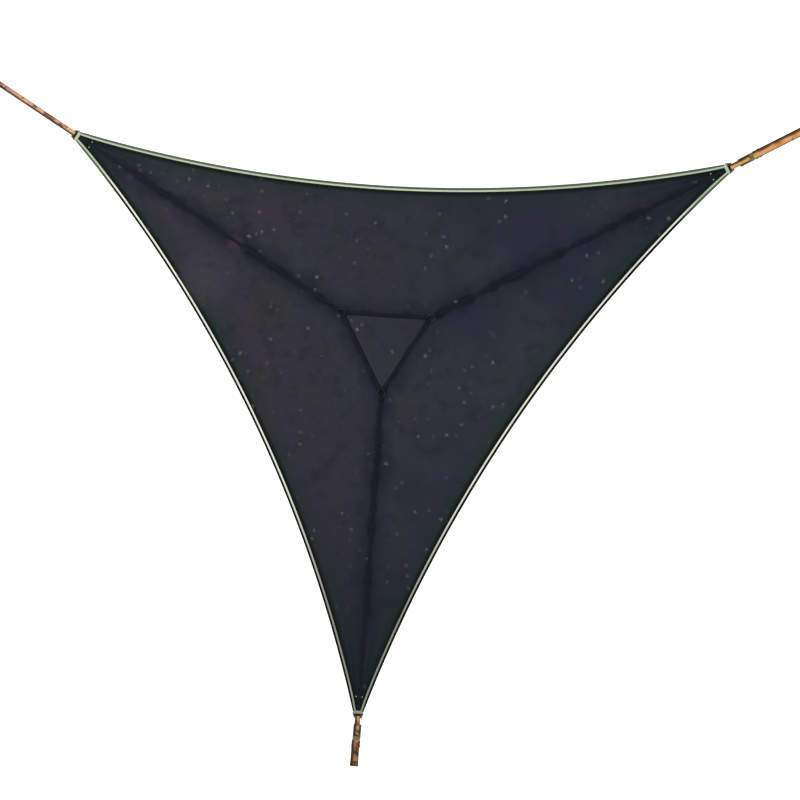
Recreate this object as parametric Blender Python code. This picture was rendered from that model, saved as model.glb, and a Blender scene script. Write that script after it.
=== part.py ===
"""Three-point tree hammock: a scalloped triangular cloth deck hung level between three trees.

Three cloth panels and a small flat centre panel make the deck. A folded binding and a webbing
finish each long edge. Seam straps run from the corners to three round rings, and short straps
join those rings in a triangle. At each corner a folded loop holds a steel ring. One ring hangs on
a plain strap, and a ratchet buckle on webbing pulls each of the other two towards its tree by a
wide sling, whose loose end lies over the ratchet.

Metres, +Z up, +Y to the rear. The origin is the middle of the centre panel's top face.
"""

import math

import bmesh
import bpy
from mathutils import Vector
from mathutils.bvhtree import BVHTree

for old in list(bpy.data.objects):
    bpy.data.objects.remove(old)

# Deck
SIDE = 6.0  # from one corner of the deck to the next
TIP_RADIUS = SIDE / math.sqrt(3)
TIP_HALF_WIDTH = 0.048
SCALLOP = 0.335  # how far each edge curves in at its middle
TIP_RISE = 0.20  # the corners above the centre panel
EDGE_DIP = 0.115  # the middle of an edge below its corners
BILLOW = 0.02  # how far a panel hangs below the straight line from edge to seam
CLOTH = 0.0015
SEAM_GAP = 0.0008
SEAM_FLAT = 0.0165  # the level strip of a panel beside a seam, where a strap lies
CENTRE_RADIUS = 0.450  # the centre panel's corners

# Edge binding and webbing
BINDING_WIDTH = 0.048
BINDING_WALL = 0.0012
BINDING_FOLD = 0.0005  # from the cloth's edge to the inside of the fold
BINDING_EASE = 0.00035  # between the cloth and the binding folded round it
TIP_FREE_WIDTH = 0.020  # what the binding leaves free beside a seam at a tip
EDGE_WEBBING_WIDTH = 0.016
EDGE_WEBBING_SETBACK = 0.020  # from the binding's fold
TIP_SETBACK_SHARE = 0.6  # at a tip the webbing lies only this share of it from the fold
TIP_SETBACK_LENGTH = 0.10  # how far from a tip that dies away
EDGE_WEBBING = 0.0016
LAID_GAP = 0.0003  # between two pieces that lie on each other
WEBBING_EASE = 0.0007  # between the binding and its webbing, which crosses it slightly at an angle

# Eyelets beside the seam at each tip
EYELET_SETBACK = 0.14
EYELET_OFFSET = 0.029
EYELET_BORE = 0.004
EYELET_BARREL = 0.0052
EYELET_FLANGE = 0.009
EYELET_FLANGE_LOW = 0.0014  # the flange's near face above the cloth's middle
EYELET_FLANGE_HIGH = 0.0020

# Seam straps, inner straps and the rings that join them
STRAP_WIDTH = 0.028
STRAP = 0.002
STRAP_LIFT = 0.002  # a seam strap's middle above the cloth's top
INNER_STRAP_LIFT = 0.003
INNER_RADIUS = 0.4907  # the inner rings' centres
INNER_RING_RADIUS = 0.035
INNER_WIRE = 0.0035
INNER_RING_HEIGHT = 0.012
FOLD_SLACK = 0.0036  # a fold is this much longer than a round wire needs, as the wire curves
FOLD_RADIUS = INNER_WIRE + 0.0004 + STRAP / 2
FOLD_UNDER = 0.010  # beyond the wire, where the layer under it leaves the fold
FOLD_OVER = 0.012  # beyond the wire, where the layer over it leaves the fold
SEAM_STRAP_SETBACK = 0.004  # from the tip to the seam strap's end
SEAM_STRAP_LANDS = 0.050  # beyond the wire, where the seam strap comes down on the cloth
SEAM_TAIL_LANDS = 0.045  # beyond the wire, where its sewn tail comes down on the strap
INNER_STRAP_LANDS = 0.040
INNER_TAIL_LANDS = 0.035
SEWN_TAIL = 0.09  # beyond the wire, where a sewn tail ends

# Corner loop and corner ring, in a frame at the tip whose +X is the line of pull
CORNER_LOOP_HALF_WIDTH = 0.039
CORNER_LOOP_LEGS = (0.012, 0.045)  # how far in from the tip the upper and lower leg reach
CORNER_LOOP = 0.002
CORNER_LOOP_OVER = 0.0070  # the upper leg's end above the cloth's middle
CORNER_LOOP_UNDER = 0.0038
CORNER_LOOP_BENDS = (0.004, -0.010)  # where the lower leg leaves the ring, and where it levels off
CORNER_WIRE = 0.006
WIRE_EASE = 0.0005
CORNER_BAR_X = 0.009  # the ring's deck side
CORNER_BAR_HALF = 0.050
OUTER_BAR_X = 0.046  # the ring's strap side
OUTER_BAR_HALF = 0.0365
CORNER_RING_BEND = 0.009

# Ratchet buckle. Its own origin is the spool's axis, +X towards the tree and +Z up.
SPOOL_X = 0.315  # the spool's axis along the line of pull
BOLT_X = -0.100
BOLT_Z = 0.009
BOLT_RADIUS = 0.0055
BOLT_HEAD_RADIUS = 0.008
BOLT_HEAD = 0.0035
PLATE = 0.0025
FRAME_INSIDE = 0.028
FRAME_BOTTOM = -0.001
FRAME_TOP = 0.019
FRAME_NOSE = 0.021
FLOOR_START = -0.090
FLOOR_END = -0.057
SPRING_SEAT_LOW = 0.007  # the floor's front edge is bent down to here
LOCK_SPRING_EASE = 0.0018  # between the lock spring and that edge, which slants to it
WHEEL_INSIDE = 0.031
WHEEL = 0.003
WHEEL_ROOT = 0.0225
WHEEL_TIP = 0.027
TEETH = 24
HANDLE_INSIDE = 0.0345
HANDLE_ANGLE = math.radians(195)  # the folded handle, from +X towards +Z
HANDLE_BEND = math.radians(8)
HANDLE_NEAR = 0.070
HANDLE_FAR = 0.120
HANDLE_NOSE = 0.0225
HANDLE_KNEE_HALF = 0.012
HANDLE_TIP_HALF = 0.010
HANDLE_SEAT = 0.062  # the wall that the drive pawl's spring pushes on
HANDLE_SEAT_DEPTH = 0.005  # how far that wall reaches past the spool's axis
LOCK_ANGLE = math.radians(165)
PAWL = 0.003
PAWL_START = WHEEL_ROOT + 0.0008
DRIVE_PAWL_END = 0.048
LOCK_PAWL_END = 0.044
PAWL_TRAVEL = 0.006
PAWL_PROUD = 0.003  # how far a drive pawl stands out of each arm
SPRING_EASE = 0.001  # between a spring and what it pushes on
SLOT_EASE = 0.00035
MANDREL_RADIUS = 0.0095
MANDREL_HALF = 0.0415
MANDREL_HEAD_RADIUS = 0.0115
MANDREL_SLOT = 0.003
MANDREL_SLOT_HALF = 0.0265
MANDREL_HEAD_EASE = 0.0004
BORE_EASE = 0.0005
THROUGH = 0.06  # half the length of a cutter that goes right through the buckle
SPRING_RADIUS = 0.003
SPRING_WIRE = 0.0005
SPRING_TURNS = 5

# Orange webbing
WEBBING_WIDTH = 0.050
WEBBING = 0.002
WINDING_TURNS = 2.25
WINDING_PITCH = 0.0027
WINDING_START = MANDREL_RADIUS + 0.0004 + WEBBING / 2
WINDING_FIRST = 0.25  # radians wound when the strap has turned out of the slot and on to the mandrel
SLOT_END_X = MANDREL_RADIUS - 0.001  # the strap's end in the slot
WINDING_END = WINDING_START + WINDING_TURNS * WINDING_PITCH
STRAP_HEIGHT = WINDING_END + WEBBING + LAID_GAP
FOLD_LENGTH = 0.030  # from a ring's bar to where the two layers round it meet
SPLICE = 0.050
SPLICE_END = 0.006  # between the ends of the two layers that meet in a link strap's splice
LINK_START = 0.010  # beyond the ring's fold, where the link strap's upper layer starts
LINK_STEP_END = 0.004  # where it has come down from its splice
EYE_LENGTH = 0.080
EYE_HALF_HEIGHT = 0.021
EYE_SLOPE_LENGTH = 0.035
EYE_SLOPE_RISE = 0.6  # the part of an eye's half height that its slopes reach
EYE_SLOPE_FALL = 0.65
EYE_UNDER_START = 0.002
RATCHET_STRAP_END = 0.075  # beyond the spool's axis
SLING_WIDTH = 0.075
SLING_START = 0.034
SLING_HEIGHT = STRAP_HEIGHT + WEBBING + 2 * LAID_GAP
SLING_ENDS = {"front": 0.185, "right": 0.575}  # beyond the spool's axis
COVER_HEIGHT = WHEEL_TIP + 0.0013 + WEBBING / 2  # a sling's loose end lies over the ratchet's wheels
COVER_RISES = 0.012
COVER_DROOPS = -0.032
COVER_END = (-0.058, COVER_HEIGHT - 0.0025)
PLAIN_STRAP_END = 0.92  # beyond the tip

CORNER_ANGLES = {"right": 30, "left": 150, "front": 270}
EDGE_ANGLES = {"rear": 0, "left": 120, "right": 240}  # each edge is the rear one, turned


# Materials

def paint(name, colour, roughness, metallic=0.0):
    """A plain material; the colour is linear red, green and blue."""
    made = bpy.data.materials.new(name)
    made.use_nodes = True
    shader = made.node_tree.nodes["Principled BSDF"]
    shader.inputs["Base Color"].default_value = (*colour, 1.0)
    shader.inputs["Roughness"].default_value = roughness
    shader.inputs["Metallic"].default_value = metallic
    return made


MESH_CLOTH = paint("charcoal_mesh_cloth", (0.030, 0.032, 0.042), 0.85)
BINDING_CLOTH = paint("dark_green_binding", (0.012, 0.027, 0.018), 0.8)
PALE_WEBBING = paint("pale_green_webbing", (0.50, 0.60, 0.42), 0.7)
BLACK_WEBBING = paint("black_webbing", (0.010, 0.011, 0.016), 0.75)
ORANGE_WEBBING = paint("orange_webbing", (0.50, 0.21, 0.06), 0.7)
ZINC_STEEL = paint("zinc_plated_steel", (0.42, 0.40, 0.34), 0.38, 1.0)
BRIGHT_STEEL = paint("bright_steel", (0.55, 0.55, 0.56), 0.3, 1.0)
BLACK_STEEL = paint("black_steel", (0.02, 0.02, 0.022), 0.4, 1.0)


# Building blocks

def mesh_of(name, points, faces):
    """A mesh whose faces all point outwards."""
    made = bpy.data.meshes.new(name)
    made.from_pydata([tuple(p) for p in points], [], faces)
    edit = bmesh.new()
    edit.from_mesh(made)
    bmesh.ops.recalc_face_normals(edit, faces=edit.faces)
    edit.to_mesh(made)
    edit.free()
    return made


def place(name, mesh, material, parent, smooth=False):
    """An object in its parent's frame. Copies share the mesh."""
    if not mesh.materials:
        mesh.materials.append(material)
        if smooth:
            mesh.shade_smooth()
            mesh.set_sharp_from_angle(angle=math.radians(35))
    made = bpy.data.objects.new(name, mesh)
    made.parent = parent
    bpy.context.scene.collection.objects.link(made)
    return made


def empty(name, parent=None, location=(0, 0, 0), rotation=(0, 0, 0)):
    made = bpy.data.objects.new(name, None)
    made.parent = parent
    made.location = location
    made.rotation_euler = rotation
    bpy.context.scene.collection.objects.link(made)
    return made


def band_faces(ring_count, size, closed=False):
    """Quads that join each ring of points to the next."""
    faces = []
    for i in range(ring_count if closed else ring_count - 1):
        here = i * size
        there = (i + 1) % ring_count * size
        for j in range(size):
            k = (j + 1) % size
            faces.append((here + j, here + k, there + k, there + j))
    return faces


def loft(name, rings, closed=False):
    """A skin over rings of equally many points, capped unless the last ring joins the first."""
    size = len(rings[0])
    points = [p for ring in rings for p in ring]
    faces = band_faces(len(rings), size, closed)
    if not closed:
        faces.append(tuple(reversed(range(size))))
        faces.append(tuple(range(len(points) - size, len(points))))
    return mesh_of(name, points, faces)


def prism(name, outline, low, high):
    """An outline in X and Z, extruded along Y from low to high."""
    return loft(name, [[(x, y, z) for x, z in outline] for y in (low, high)])


def box(name, x, y, z):
    """A block between two values on each axis."""
    return prism(name, [(x[0], z[0]), (x[1], z[0]), (x[1], z[1]), (x[0], z[1])], y[0], y[1])


def arc(centre, radius, start, end, steps):
    """Points on a circle in a plane, from one angle in degrees to another."""
    angles = [math.radians(start + (end - start) * i / steps) for i in range(steps + 1)]
    return [(centre[0] + radius * math.cos(a), centre[1] + radius * math.sin(a)) for a in angles]


def turned(name, stations, sides):
    """A solid turned about Y, through (y, radius) stations."""
    rings = [[(x, y, z) for x, z in arc((0, 0), radius, 0, 360, sides)[:-1]] for y, radius in stations]
    return loft(name, rings)


def cylinder(name, centre, radius, sides=24):
    """A round cutter along Y, longer than the buckle is wide."""
    return prism(name, arc(centre, radius, 0, 360, sides)[:-1], -THROUGH, THROUGH)


def ribbon(name, path, width, thickness):
    """A flat strap along a path in X and Z, with its width along Y and mitred bends."""
    half = width / 2
    rings = []
    for i, point in enumerate(path):
        here = Vector(point)
        before = Vector(path[i - 1]) if i else here
        after = Vector(path[i + 1]) if i < len(path) - 1 else here
        into = (here - before).normalized() if i else (after - here).normalized()
        out = (after - here).normalized() if i < len(path) - 1 else into
        along = (into + out).normalized()
        normal = Vector((-along.y, along.x))
        reach = normal * (thickness / 2 / along.dot(into))
        a, b = here + reach, here - reach
        rings.append([(a.x, -half, a.y), (a.x, half, a.y), (b.x, half, b.y), (b.x, -half, b.y)])
    return loft(name, rings)


def round_wire(name, centreline, radius, sides=8):
    """A closed ring of round wire along points in X and Y."""
    rings = []
    for i, (x, y) in enumerate(centreline):
        ahead = Vector(centreline[(i + 1) % len(centreline)]) - Vector(centreline[i - 1])
        out = Vector((ahead.y, -ahead.x)).normalized()
        section = arc((0, 0), radius, 0, 360, sides)[:-1]
        rings.append([(x + out.x * c, y + out.y * c, s) for c, s in section])
    return loft(name, rings, closed=True)


def carved(mesh, cutters):
    """The mesh with each cutter taken away from it by a Boolean."""
    solid = place(mesh.name, mesh, BRIGHT_STEEL, None)
    helpers = []
    for cutter in cutters:
        helper = place(cutter.name, cutter, BRIGHT_STEEL, None)
        helper.hide_render = True
        helper.display_type = "WIRE"
        cut = solid.modifiers.new(cutter.name, "BOOLEAN")
        cut.operation = "DIFFERENCE"
        cut.solver = "EXACT"
        cut.object = helper
        helpers.append(helper)
    graph = bpy.context.evaluated_depsgraph_get()
    done = bpy.data.meshes.new_from_object(solid.evaluated_get(graph))
    done.name = mesh.name
    done.materials.clear()
    for helper in [solid, *helpers]:
        bpy.data.objects.remove(helper)
    return done


def print_least_gap(name, points, thickness, turn):
    """Prints the least gap between parts of a winding that lie half a turn or more apart."""
    apart = turn // 2
    near = min((p - q).length for i, p in enumerate(points) for q in points[i + apart:])
    print(f"{name}: least gap to itself {1000 * (near - thickness):.2f} mm")


# The deck's surface, given for the rear panel. u runs along the edge from the left corner to
# the right one. The rows run from the edge to the seams round the panel's inner side.

LEFT_OUT = Vector((math.cos(math.radians(150)), math.sin(math.radians(150))))
LEFT_ACROSS = Vector((LEFT_OUT.y, -LEFT_OUT.x))
SEAM_LENGTH = TIP_RADIUS - CENTRE_RADIUS
CENTRE_SIDE = CENTRE_RADIUS * math.sqrt(3)
SEAM_SHARE = SEAM_LENGTH / (2 * SEAM_LENGTH + CENTRE_SIDE)
SEAM_STEPS = 11
INNER_STEPS = 4
ROWS = 4  # rows of faces between the two level strips
TIP_SLOPE = math.atan(1.25 * TIP_RISE / SEAM_LENGTH)  # the slope of seam_height at a tip


def seam_height(radius):
    """The middle of the cloth on a seam, at a distance from the centre. It steepens to the tip."""
    share = max((radius - CENTRE_RADIUS) / SEAM_LENGTH, 0.0)
    return TIP_RISE * (0.75 * share + 0.25 * share * share) - CLOTH / 2


def edge_point(u):
    """The cloth's edge: a parabola in plan, which also dips to its middle."""
    tip = LEFT_OUT * TIP_RADIUS + LEFT_ACROSS * TIP_HALF_WIDTH
    bow = 4 * u * (1 - u)
    x = tip.x * (1 - 2 * u)
    return Vector((x, tip.y - SCALLOP * bow, TIP_RISE - EDGE_DIP * bow - CLOTH / 2))


def seam_point(u):
    """The panel's inner side: a seam, one side of the centre panel, and the other seam."""
    mirror = 1.0 if u <= 0.5 else -1.0
    u = min(u, 1 - u)
    if u < SEAM_SHARE:
        radius = TIP_RADIUS - SEAM_LENGTH * u / SEAM_SHARE
        flat = LEFT_OUT * radius + LEFT_ACROSS * SEAM_GAP / 2
        return Vector((flat.x * mirror, flat.y, seam_height(radius)))
    along = (u - SEAM_SHARE) / (0.5 - SEAM_SHARE)
    x = -CENTRE_SIDE / 2 * (1 - along)
    return Vector((x * mirror, CENTRE_RADIUS / 2 + SEAM_GAP / 2, seam_height(0)))


def level_way(u):
    """The length in plan from the edge to the seam, and the level way along it."""
    across = seam_point(u) - edge_point(u)
    across.z = 0
    return across.length, across.normalized()


def binding_reach(u):
    """How far in the binding lies, which is less at a tip, where a seam strap needs its room."""
    return min(BINDING_WIDTH, level_way(u)[0] - TIP_FREE_WIDTH)


def deck_rows(u):
    """The cloth's middle from edge to seam: level under the binding, billowed, level by the seam."""
    inward = level_way(u)[1]
    edge = edge_point(u)
    seam = seam_point(u)
    start = edge + inward * binding_reach(u)
    end = seam - inward * SEAM_FLAT
    rows = [edge]
    for i in range(ROWS + 1):
        share = i / ROWS
        point = start.lerp(end, share)
        point.z -= BILLOW * 4 * share * (1 - share) * math.sin(math.pi * u)
        rows.append(point)
    return rows + [seam]


def edge_shares():
    """Values of u with a point at each corner of the panel's inner side."""
    seam = [SEAM_SHARE * i / SEAM_STEPS for i in range(SEAM_STEPS)]
    inner = [SEAM_SHARE + (1 - 2 * SEAM_SHARE) * i / INNER_STEPS for i in range(INNER_STEPS + 1)]
    return seam + inner + [1 - u for u in reversed(seam)]


def panel_mesh():
    """One outer panel: the deck's surface with the cloth's thickness."""
    half = Vector((0, 0, CLOTH / 2))
    rings = []
    for u in edge_shares():
        rows = deck_rows(u)
        rings.append([p + half for p in rows] + [p - half for p in reversed(rows)])
    size = len(rings[0])
    points = [p for ring in rings for p in ring]
    faces = band_faces(len(rings), size)
    for first in (0, len(points) - size):
        for j in range(size // 2 - 1):
            k = size - 1 - j
            faces.append((first + j, first + k, first + k - 1, first + j + 1))
    return mesh_of("panel", points, faces)


def eyelet_places(panel):
    """The cloth's middle and its normal at the two eyelets of the rear panel.

    Each is the mean of four points under the flange.
    """
    tree = BVHTree.FromPolygons([v.co for v in panel.vertices], [p.vertices for p in panel.polygons])
    left = LEFT_OUT * (TIP_RADIUS - EYELET_SETBACK) + LEFT_ACROSS * EYELET_OFFSET
    found = []
    for x in (left.x, -left.x):
        around = [Vector((px, py, 1)) for px, py in arc((x, left.y), EYELET_FLANGE, 0, 270, 3)]
        east, north, west, south = [tree.ray_cast(p, Vector((0, 0, -1)))[0] for p in around]
        normal = (east - west).cross(north - south).normalized()
        top = (east + north + west + south) / 4
        found.append((top - normal * CLOTH / 2, normal))
    return found


def eyelet_hole(place_of_hole):
    """A round cutter through the cloth, wider than the eyelet's barrel."""
    radius = EYELET_BARREL + BORE_EASE
    circle = arc(place_of_hole.xy, radius, 0, 360, 12)[:-1]
    heights = [place_of_hole.z + side * EYELET_FLANGE for side in (-1, 1)]
    return loft("eyelet_hole", [[(x, y, z) for x, y in circle] for z in heights])


def eyelet_mesh():
    """A barrel with a flange above and a flange below the cloth."""
    low, high = EYELET_FLANGE_LOW, EYELET_FLANGE_HIGH
    profile = [(EYELET_BORE, -high), (EYELET_FLANGE, -high), (EYELET_FLANGE, -low), (EYELET_BARREL, -low),
               (EYELET_BARREL, low), (EYELET_FLANGE, low), (EYELET_FLANGE, high), (EYELET_BORE, high)]
    rings = []
    for c, s in arc((0, 0), 1.0, 0, 360, 12)[:-1]:
        rings.append([(r * c, r * s, z) for r, z in profile])
    return loft("eyelet", rings, closed=True)


def centre_mesh():
    """The flat triangular centre panel, whose top face is at z = 0."""
    radius = CENTRE_RADIUS - SEAM_GAP
    corners = [(radius * math.cos(math.radians(a)), radius * math.sin(math.radians(a)))
               for a in CORNER_ANGLES.values()]
    return loft("centre_panel", [[(x, y, z) for x, y in corners] for z in (-CLOTH, 0.0)])


def along_edge(name, section):
    """Sweeps a section along the rear edge. section(u) lists points as (in, up)."""
    rings = []
    for u in edge_shares():
        edge = edge_point(u)
        inward = level_way(u)[1]
        rings.append([edge + inward * a + Vector((0, 0, b)) for a, b in section(u)])
    return loft(name, rings)


def binding_mesh():
    """The binding, folded over the cloth's edge."""
    near = CLOTH / 2 + BINDING_EASE
    far = near + BINDING_WALL

    def section(u):
        reach = binding_reach(u)
        outside = -BINDING_FOLD - BINDING_WALL
        return [(outside, -far), (reach, -far), (reach, -near), (-BINDING_FOLD, -near),
                (-BINDING_FOLD, near), (reach, near), (reach, far), (outside, far)]

    return along_edge("binding", section)


def webbing_setback(u):
    """From the binding's fold to the webbing. It shrinks at a tip, where a seam strap needs its room."""
    near_tip = math.exp(-SIDE * min(u, 1 - u) / TIP_SETBACK_LENGTH)
    return EDGE_WEBBING_SETBACK * (1 - (1 - TIP_SETBACK_SHARE) * near_tip)


def edge_webbing_mesh():
    """The webbing sewn on the binding."""
    low = CLOTH / 2 + BINDING_EASE + BINDING_WALL + WEBBING_EASE
    high = low + EDGE_WEBBING

    def section(u):
        start = webbing_setback(u)
        end = start + EDGE_WEBBING_WIDTH
        return [(start, low), (end, low), (end, high), (start, high)]

    return along_edge("edge_webbing", section)


# Straps and rings of the deck. Each is built for a corner on the +X axis.

def seam_strap_mesh():
    """Black webbing over a seam, from the corner loop to a fold round the inner ring."""
    wire = INNER_RADIUS + INNER_RING_RADIUS
    lie = CLOTH / 2 + STRAP_LIFT
    over = lie + STRAP + 2 * LAID_GAP
    lands = wire + SEAM_STRAP_LANDS
    tail_lands = wire + SEAM_TAIL_LANDS
    tail_end = wire + SEWN_TAIL
    radii = [TIP_RADIUS - SEAM_LENGTH * i / SEAM_STEPS for i in range(SEAM_STEPS)]
    radii[0] -= SEAM_STRAP_SETBACK
    path = [(r, seam_height(r) + lie) for r in radii if r > lands]
    path += [(lands, seam_height(lands) + lie), (wire + FOLD_UNDER, INNER_RING_HEIGHT - FOLD_RADIUS)]
    path += arc((wire - FOLD_SLACK, INNER_RING_HEIGHT), FOLD_RADIUS, 270, 90, 6)
    path.append((wire + FOLD_OVER, INNER_RING_HEIGHT + FOLD_RADIUS))
    path += [(tail_lands, seam_height(tail_lands) + over), (tail_end, seam_height(tail_end) + over)]
    return ribbon("seam_strap", path, STRAP_WIDTH, STRAP)


def inner_strap_mesh():
    """Black webbing between two inner rings, folded round both and sewn back over itself."""
    wire = INNER_RADIUS * math.sqrt(3) / 2 - INNER_RING_RADIUS
    over = INNER_STRAP_LIFT + STRAP + 2 * LAID_GAP
    right = [(wire - INNER_STRAP_LANDS, INNER_STRAP_LIFT)]
    right.append((wire - FOLD_UNDER, INNER_RING_HEIGHT - FOLD_RADIUS))
    right += arc((wire + FOLD_SLACK, INNER_RING_HEIGHT), FOLD_RADIUS, 270, 450, 6)
    right.append((wire - FOLD_OVER, INNER_RING_HEIGHT + FOLD_RADIUS))
    right += [(wire - INNER_TAIL_LANDS, over), (wire - SEWN_TAIL, over)]
    left = [(-x, z) for x, z in reversed(right)]
    return ribbon("inner_strap", left + right, STRAP_WIDTH, STRAP)


def inner_ring_mesh():
    circle = arc((0, 0), INNER_RING_RADIUS, 0, 360, 20)[:-1]
    return round_wire("inner_ring", circle, INNER_WIRE)


def corner_loop_mesh():
    """Webbing folded round the corner ring's long bar, with a leg over and under the tip."""
    half = CORNER_WIRE + WIRE_EASE + CORNER_LOOP / 2
    leaves, levels = CORNER_LOOP_BENDS
    upper, lower = CORNER_LOOP_LEGS
    path = [(-upper, CORNER_LOOP_OVER)]
    path += arc((CORNER_BAR_X, 0), half, 90, -90, 8)
    path += [(leaves, -half), (levels, -CORNER_LOOP_UNDER), (-lower, -CORNER_LOOP_UNDER)]
    return ribbon("corner_loop", path, 2 * CORNER_LOOP_HALF_WIDTH, CORNER_LOOP)


def corner_ring_mesh():
    """A four-sided ring of round wire, wide on the deck's side and narrow on the strap's."""
    corners = [(CORNER_BAR_X, -CORNER_BAR_HALF), (OUTER_BAR_X, -OUTER_BAR_HALF),
               (OUTER_BAR_X, OUTER_BAR_HALF), (CORNER_BAR_X, CORNER_BAR_HALF)]
    points = []
    for i, corner in enumerate(corners):
        here = Vector(corner)
        before = (Vector(corners[i - 1]) - here).normalized()
        after = (Vector(corners[(i + 1) % 4]) - here).normalized()
        for t in (0.0, 0.3, 0.7, 1.0):
            near = here + before * CORNER_RING_BEND * (1 - t)
            far = here + after * CORNER_RING_BEND * t
            points.append(tuple(near.lerp(far, t)))
    return round_wire("corner_ring", points, CORNER_WIRE)


# Webbing of the suspension

def fold_round(x, radius, start, end):
    """The middle of webbing folded round a bar on the line of pull."""
    return arc((x, 0), radius + WIRE_EASE + WEBBING / 2, start, end, 8)


def link_strap_mesh():
    """Webbing from the corner ring to the ratchet's bolt: one loop round both, spliced on top."""
    bolt = SPOOL_X + BOLT_X
    layer = WEBBING / 2 + LAID_GAP
    start = OUTER_BAR_X + FOLD_LENGTH
    end = bolt - FOLD_LENGTH
    path = [(start + LINK_START, 3 * layer), (start + SPLICE, 3 * layer), (end + LINK_STEP_END, layer)]
    path += fold_round(bolt, BOLT_RADIUS, 90, -90)
    path += [(end, -layer), (start, -layer)]
    path += fold_round(OUTER_BAR_X, CORNER_WIRE, 270, 90)
    path += [(start, layer), (start + SPLICE - SPLICE_END, layer)]
    return ribbon("link_strap", path, WEBBING_WIDTH, WEBBING)


def eye_path(height, end, least_x):
    """Webbing that ends in an eye, folded back under itself for a splice, but not past least_x."""
    neck = end - EYE_LENGTH
    half = EYE_HALF_HEIGHT - WEBBING / 2
    under = height - WEBBING - 2 * LAID_GAP
    slope_end = neck + EYE_SLOPE_LENGTH
    path = [(neck, height), (slope_end, height + EYE_SLOPE_RISE * half)]
    path += arc((end - EYE_HALF_HEIGHT, height), half, 90, -90, 7)
    path.append((slope_end, height - EYE_SLOPE_FALL * half))
    path.append((neck + EYE_UNDER_START, under))
    return path + [(max(neck - SPLICE, least_x), under)]


def ratchet_strap_mesh():
    """Webbing from the top of the winding to the sling that it is sewn under."""
    path = [(0.0, STRAP_HEIGHT), (RATCHET_STRAP_END, STRAP_HEIGHT)]
    return ribbon("tree_strap", path, WEBBING_WIDTH, WEBBING)


def sling_mesh(end):
    """Wide webbing from its loose end, which covers the ratchet, over the strap to its eye."""
    cover = [COVER_END, (COVER_DROOPS, COVER_HEIGHT), (COVER_RISES, COVER_HEIGHT)]
    eye = eye_path(SLING_HEIGHT, end, RATCHET_STRAP_END + SPLICE_END / 2)
    return ribbon("tree_sling", cover + [(SLING_START, SLING_HEIGHT)] + eye, SLING_WIDTH, WEBBING)


def plain_strap_mesh():
    """Webbing folded round the corner ring and sewn under itself, with an eye at its other end."""
    under = -WEBBING - 2 * LAID_GAP
    start = OUTER_BAR_X + FOLD_LENGTH
    path = [(start + 2 * SPLICE, under), (start, under)]
    path += fold_round(OUTER_BAR_X, CORNER_WIRE, 270, 90)
    path.append((start, 0.0))
    path += eye_path(0.0, PLAIN_STRAP_END, start)
    return ribbon("plain_strap", path, WEBBING_WIDTH, WEBBING)


def winding_mesh():
    """The tree strap's end: through the mandrel's slot, then wound round it, one turn on another."""
    total = WINDING_TURNS * 2 * math.pi
    first = WINDING_FIRST
    per_turn = 14
    steps = round(WINDING_TURNS * per_turn)
    path = [(SLOT_END_X, 0.0), (-WINDING_START, 0.0)]
    for i in range(steps + 1):
        wound = first + (total - first) * i / steps
        radius = WINDING_START + WINDING_PITCH * wound / (2 * math.pi)
        path.append((-radius * math.cos(wound), radius * math.sin(wound)))
    print_least_gap("strap_winding", [Vector(p) for p in path[1:]], WEBBING, per_turn)
    return ribbon("strap_winding", path, WEBBING_WIDTH, WEBBING)


# Ratchet buckle, about its spool's axis

def polar_frame(angle):
    """A function that gives points as distances along an angle and a quarter turn past it."""
    along = Vector((math.cos(angle), math.sin(angle)))
    beside = Vector((-along.y, along.x))
    return lambda a, b: along * a + beside * b


def radial_bar(name, angle, start, end, half_thickness, half_width):
    """A flat bar across the buckle, in a plane through the spool's axis."""
    at = polar_frame(angle)
    outline = [at(start, -half_thickness), at(end, -half_thickness),
               at(end, half_thickness), at(start, half_thickness)]
    return prism(name, outline, -half_width, half_width)


def slot_cutter(name, angle, end):
    """A cutter for a pawl's slot in two plates, as long as the pawl and its travel."""
    start = WHEEL_ROOT + LAID_GAP
    return radial_bar(name, angle, start, end + PAWL_TRAVEL + SPRING_EASE, PAWL / 2 + SLOT_EASE, THROUGH)


def pawl_mesh(name, angle, end, half_width):
    """A flat bar whose front edge sits between two teeth of both wheels."""
    return radial_bar(name, angle, PAWL_START, end, PAWL / 2, half_width)


def ratchet_frame_mesh():
    """Two side plates and the floor that joins them, its front edge bent down as a spring seat."""
    level = math.degrees(math.asin(-FRAME_BOTTOM / FRAME_NOSE))
    crest = math.degrees(math.asin(FRAME_TOP / FRAME_NOSE))
    bend = (FRAME_TOP - FRAME_BOTTOM) / 2
    outline = arc((BOLT_X, BOLT_Z), bend, 90, 270, 8)
    outline += arc((0, 0), FRAME_NOSE, 180 + level, 540 - crest, 18)
    side = FRAME_INSIDE + PLATE
    inside = (-FRAME_INSIDE, FRAME_INSIDE)
    past_bolt = BOLT_X - THROUGH
    cutters = [
        box("bolt_end", (past_bolt, FLOOR_START), inside, (-THROUGH, THROUGH)),
        box("spool_end", (FLOOR_END, THROUGH), inside, (-THROUGH, THROUGH)),
        box("under_floor", (FLOOR_START - PLATE, FLOOR_END - PLATE), inside, (-THROUGH, FRAME_TOP - PLATE)),
        box("under_seat", (FLOOR_END - 2 * PLATE, FLOOR_END + PLATE), inside, (-THROUGH, SPRING_SEAT_LOW)),
        cylinder("spool_hole", (0, 0), MANDREL_RADIUS + BORE_EASE),
        cylinder("bolt_hole", (BOLT_X, BOLT_Z), BOLT_RADIUS + BORE_EASE, 16),
        slot_cutter("lock_slot", LOCK_ANGLE, LOCK_PAWL_END),
    ]
    return carved(prism("ratchet_frame", outline, -side, side), cutters)


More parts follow.
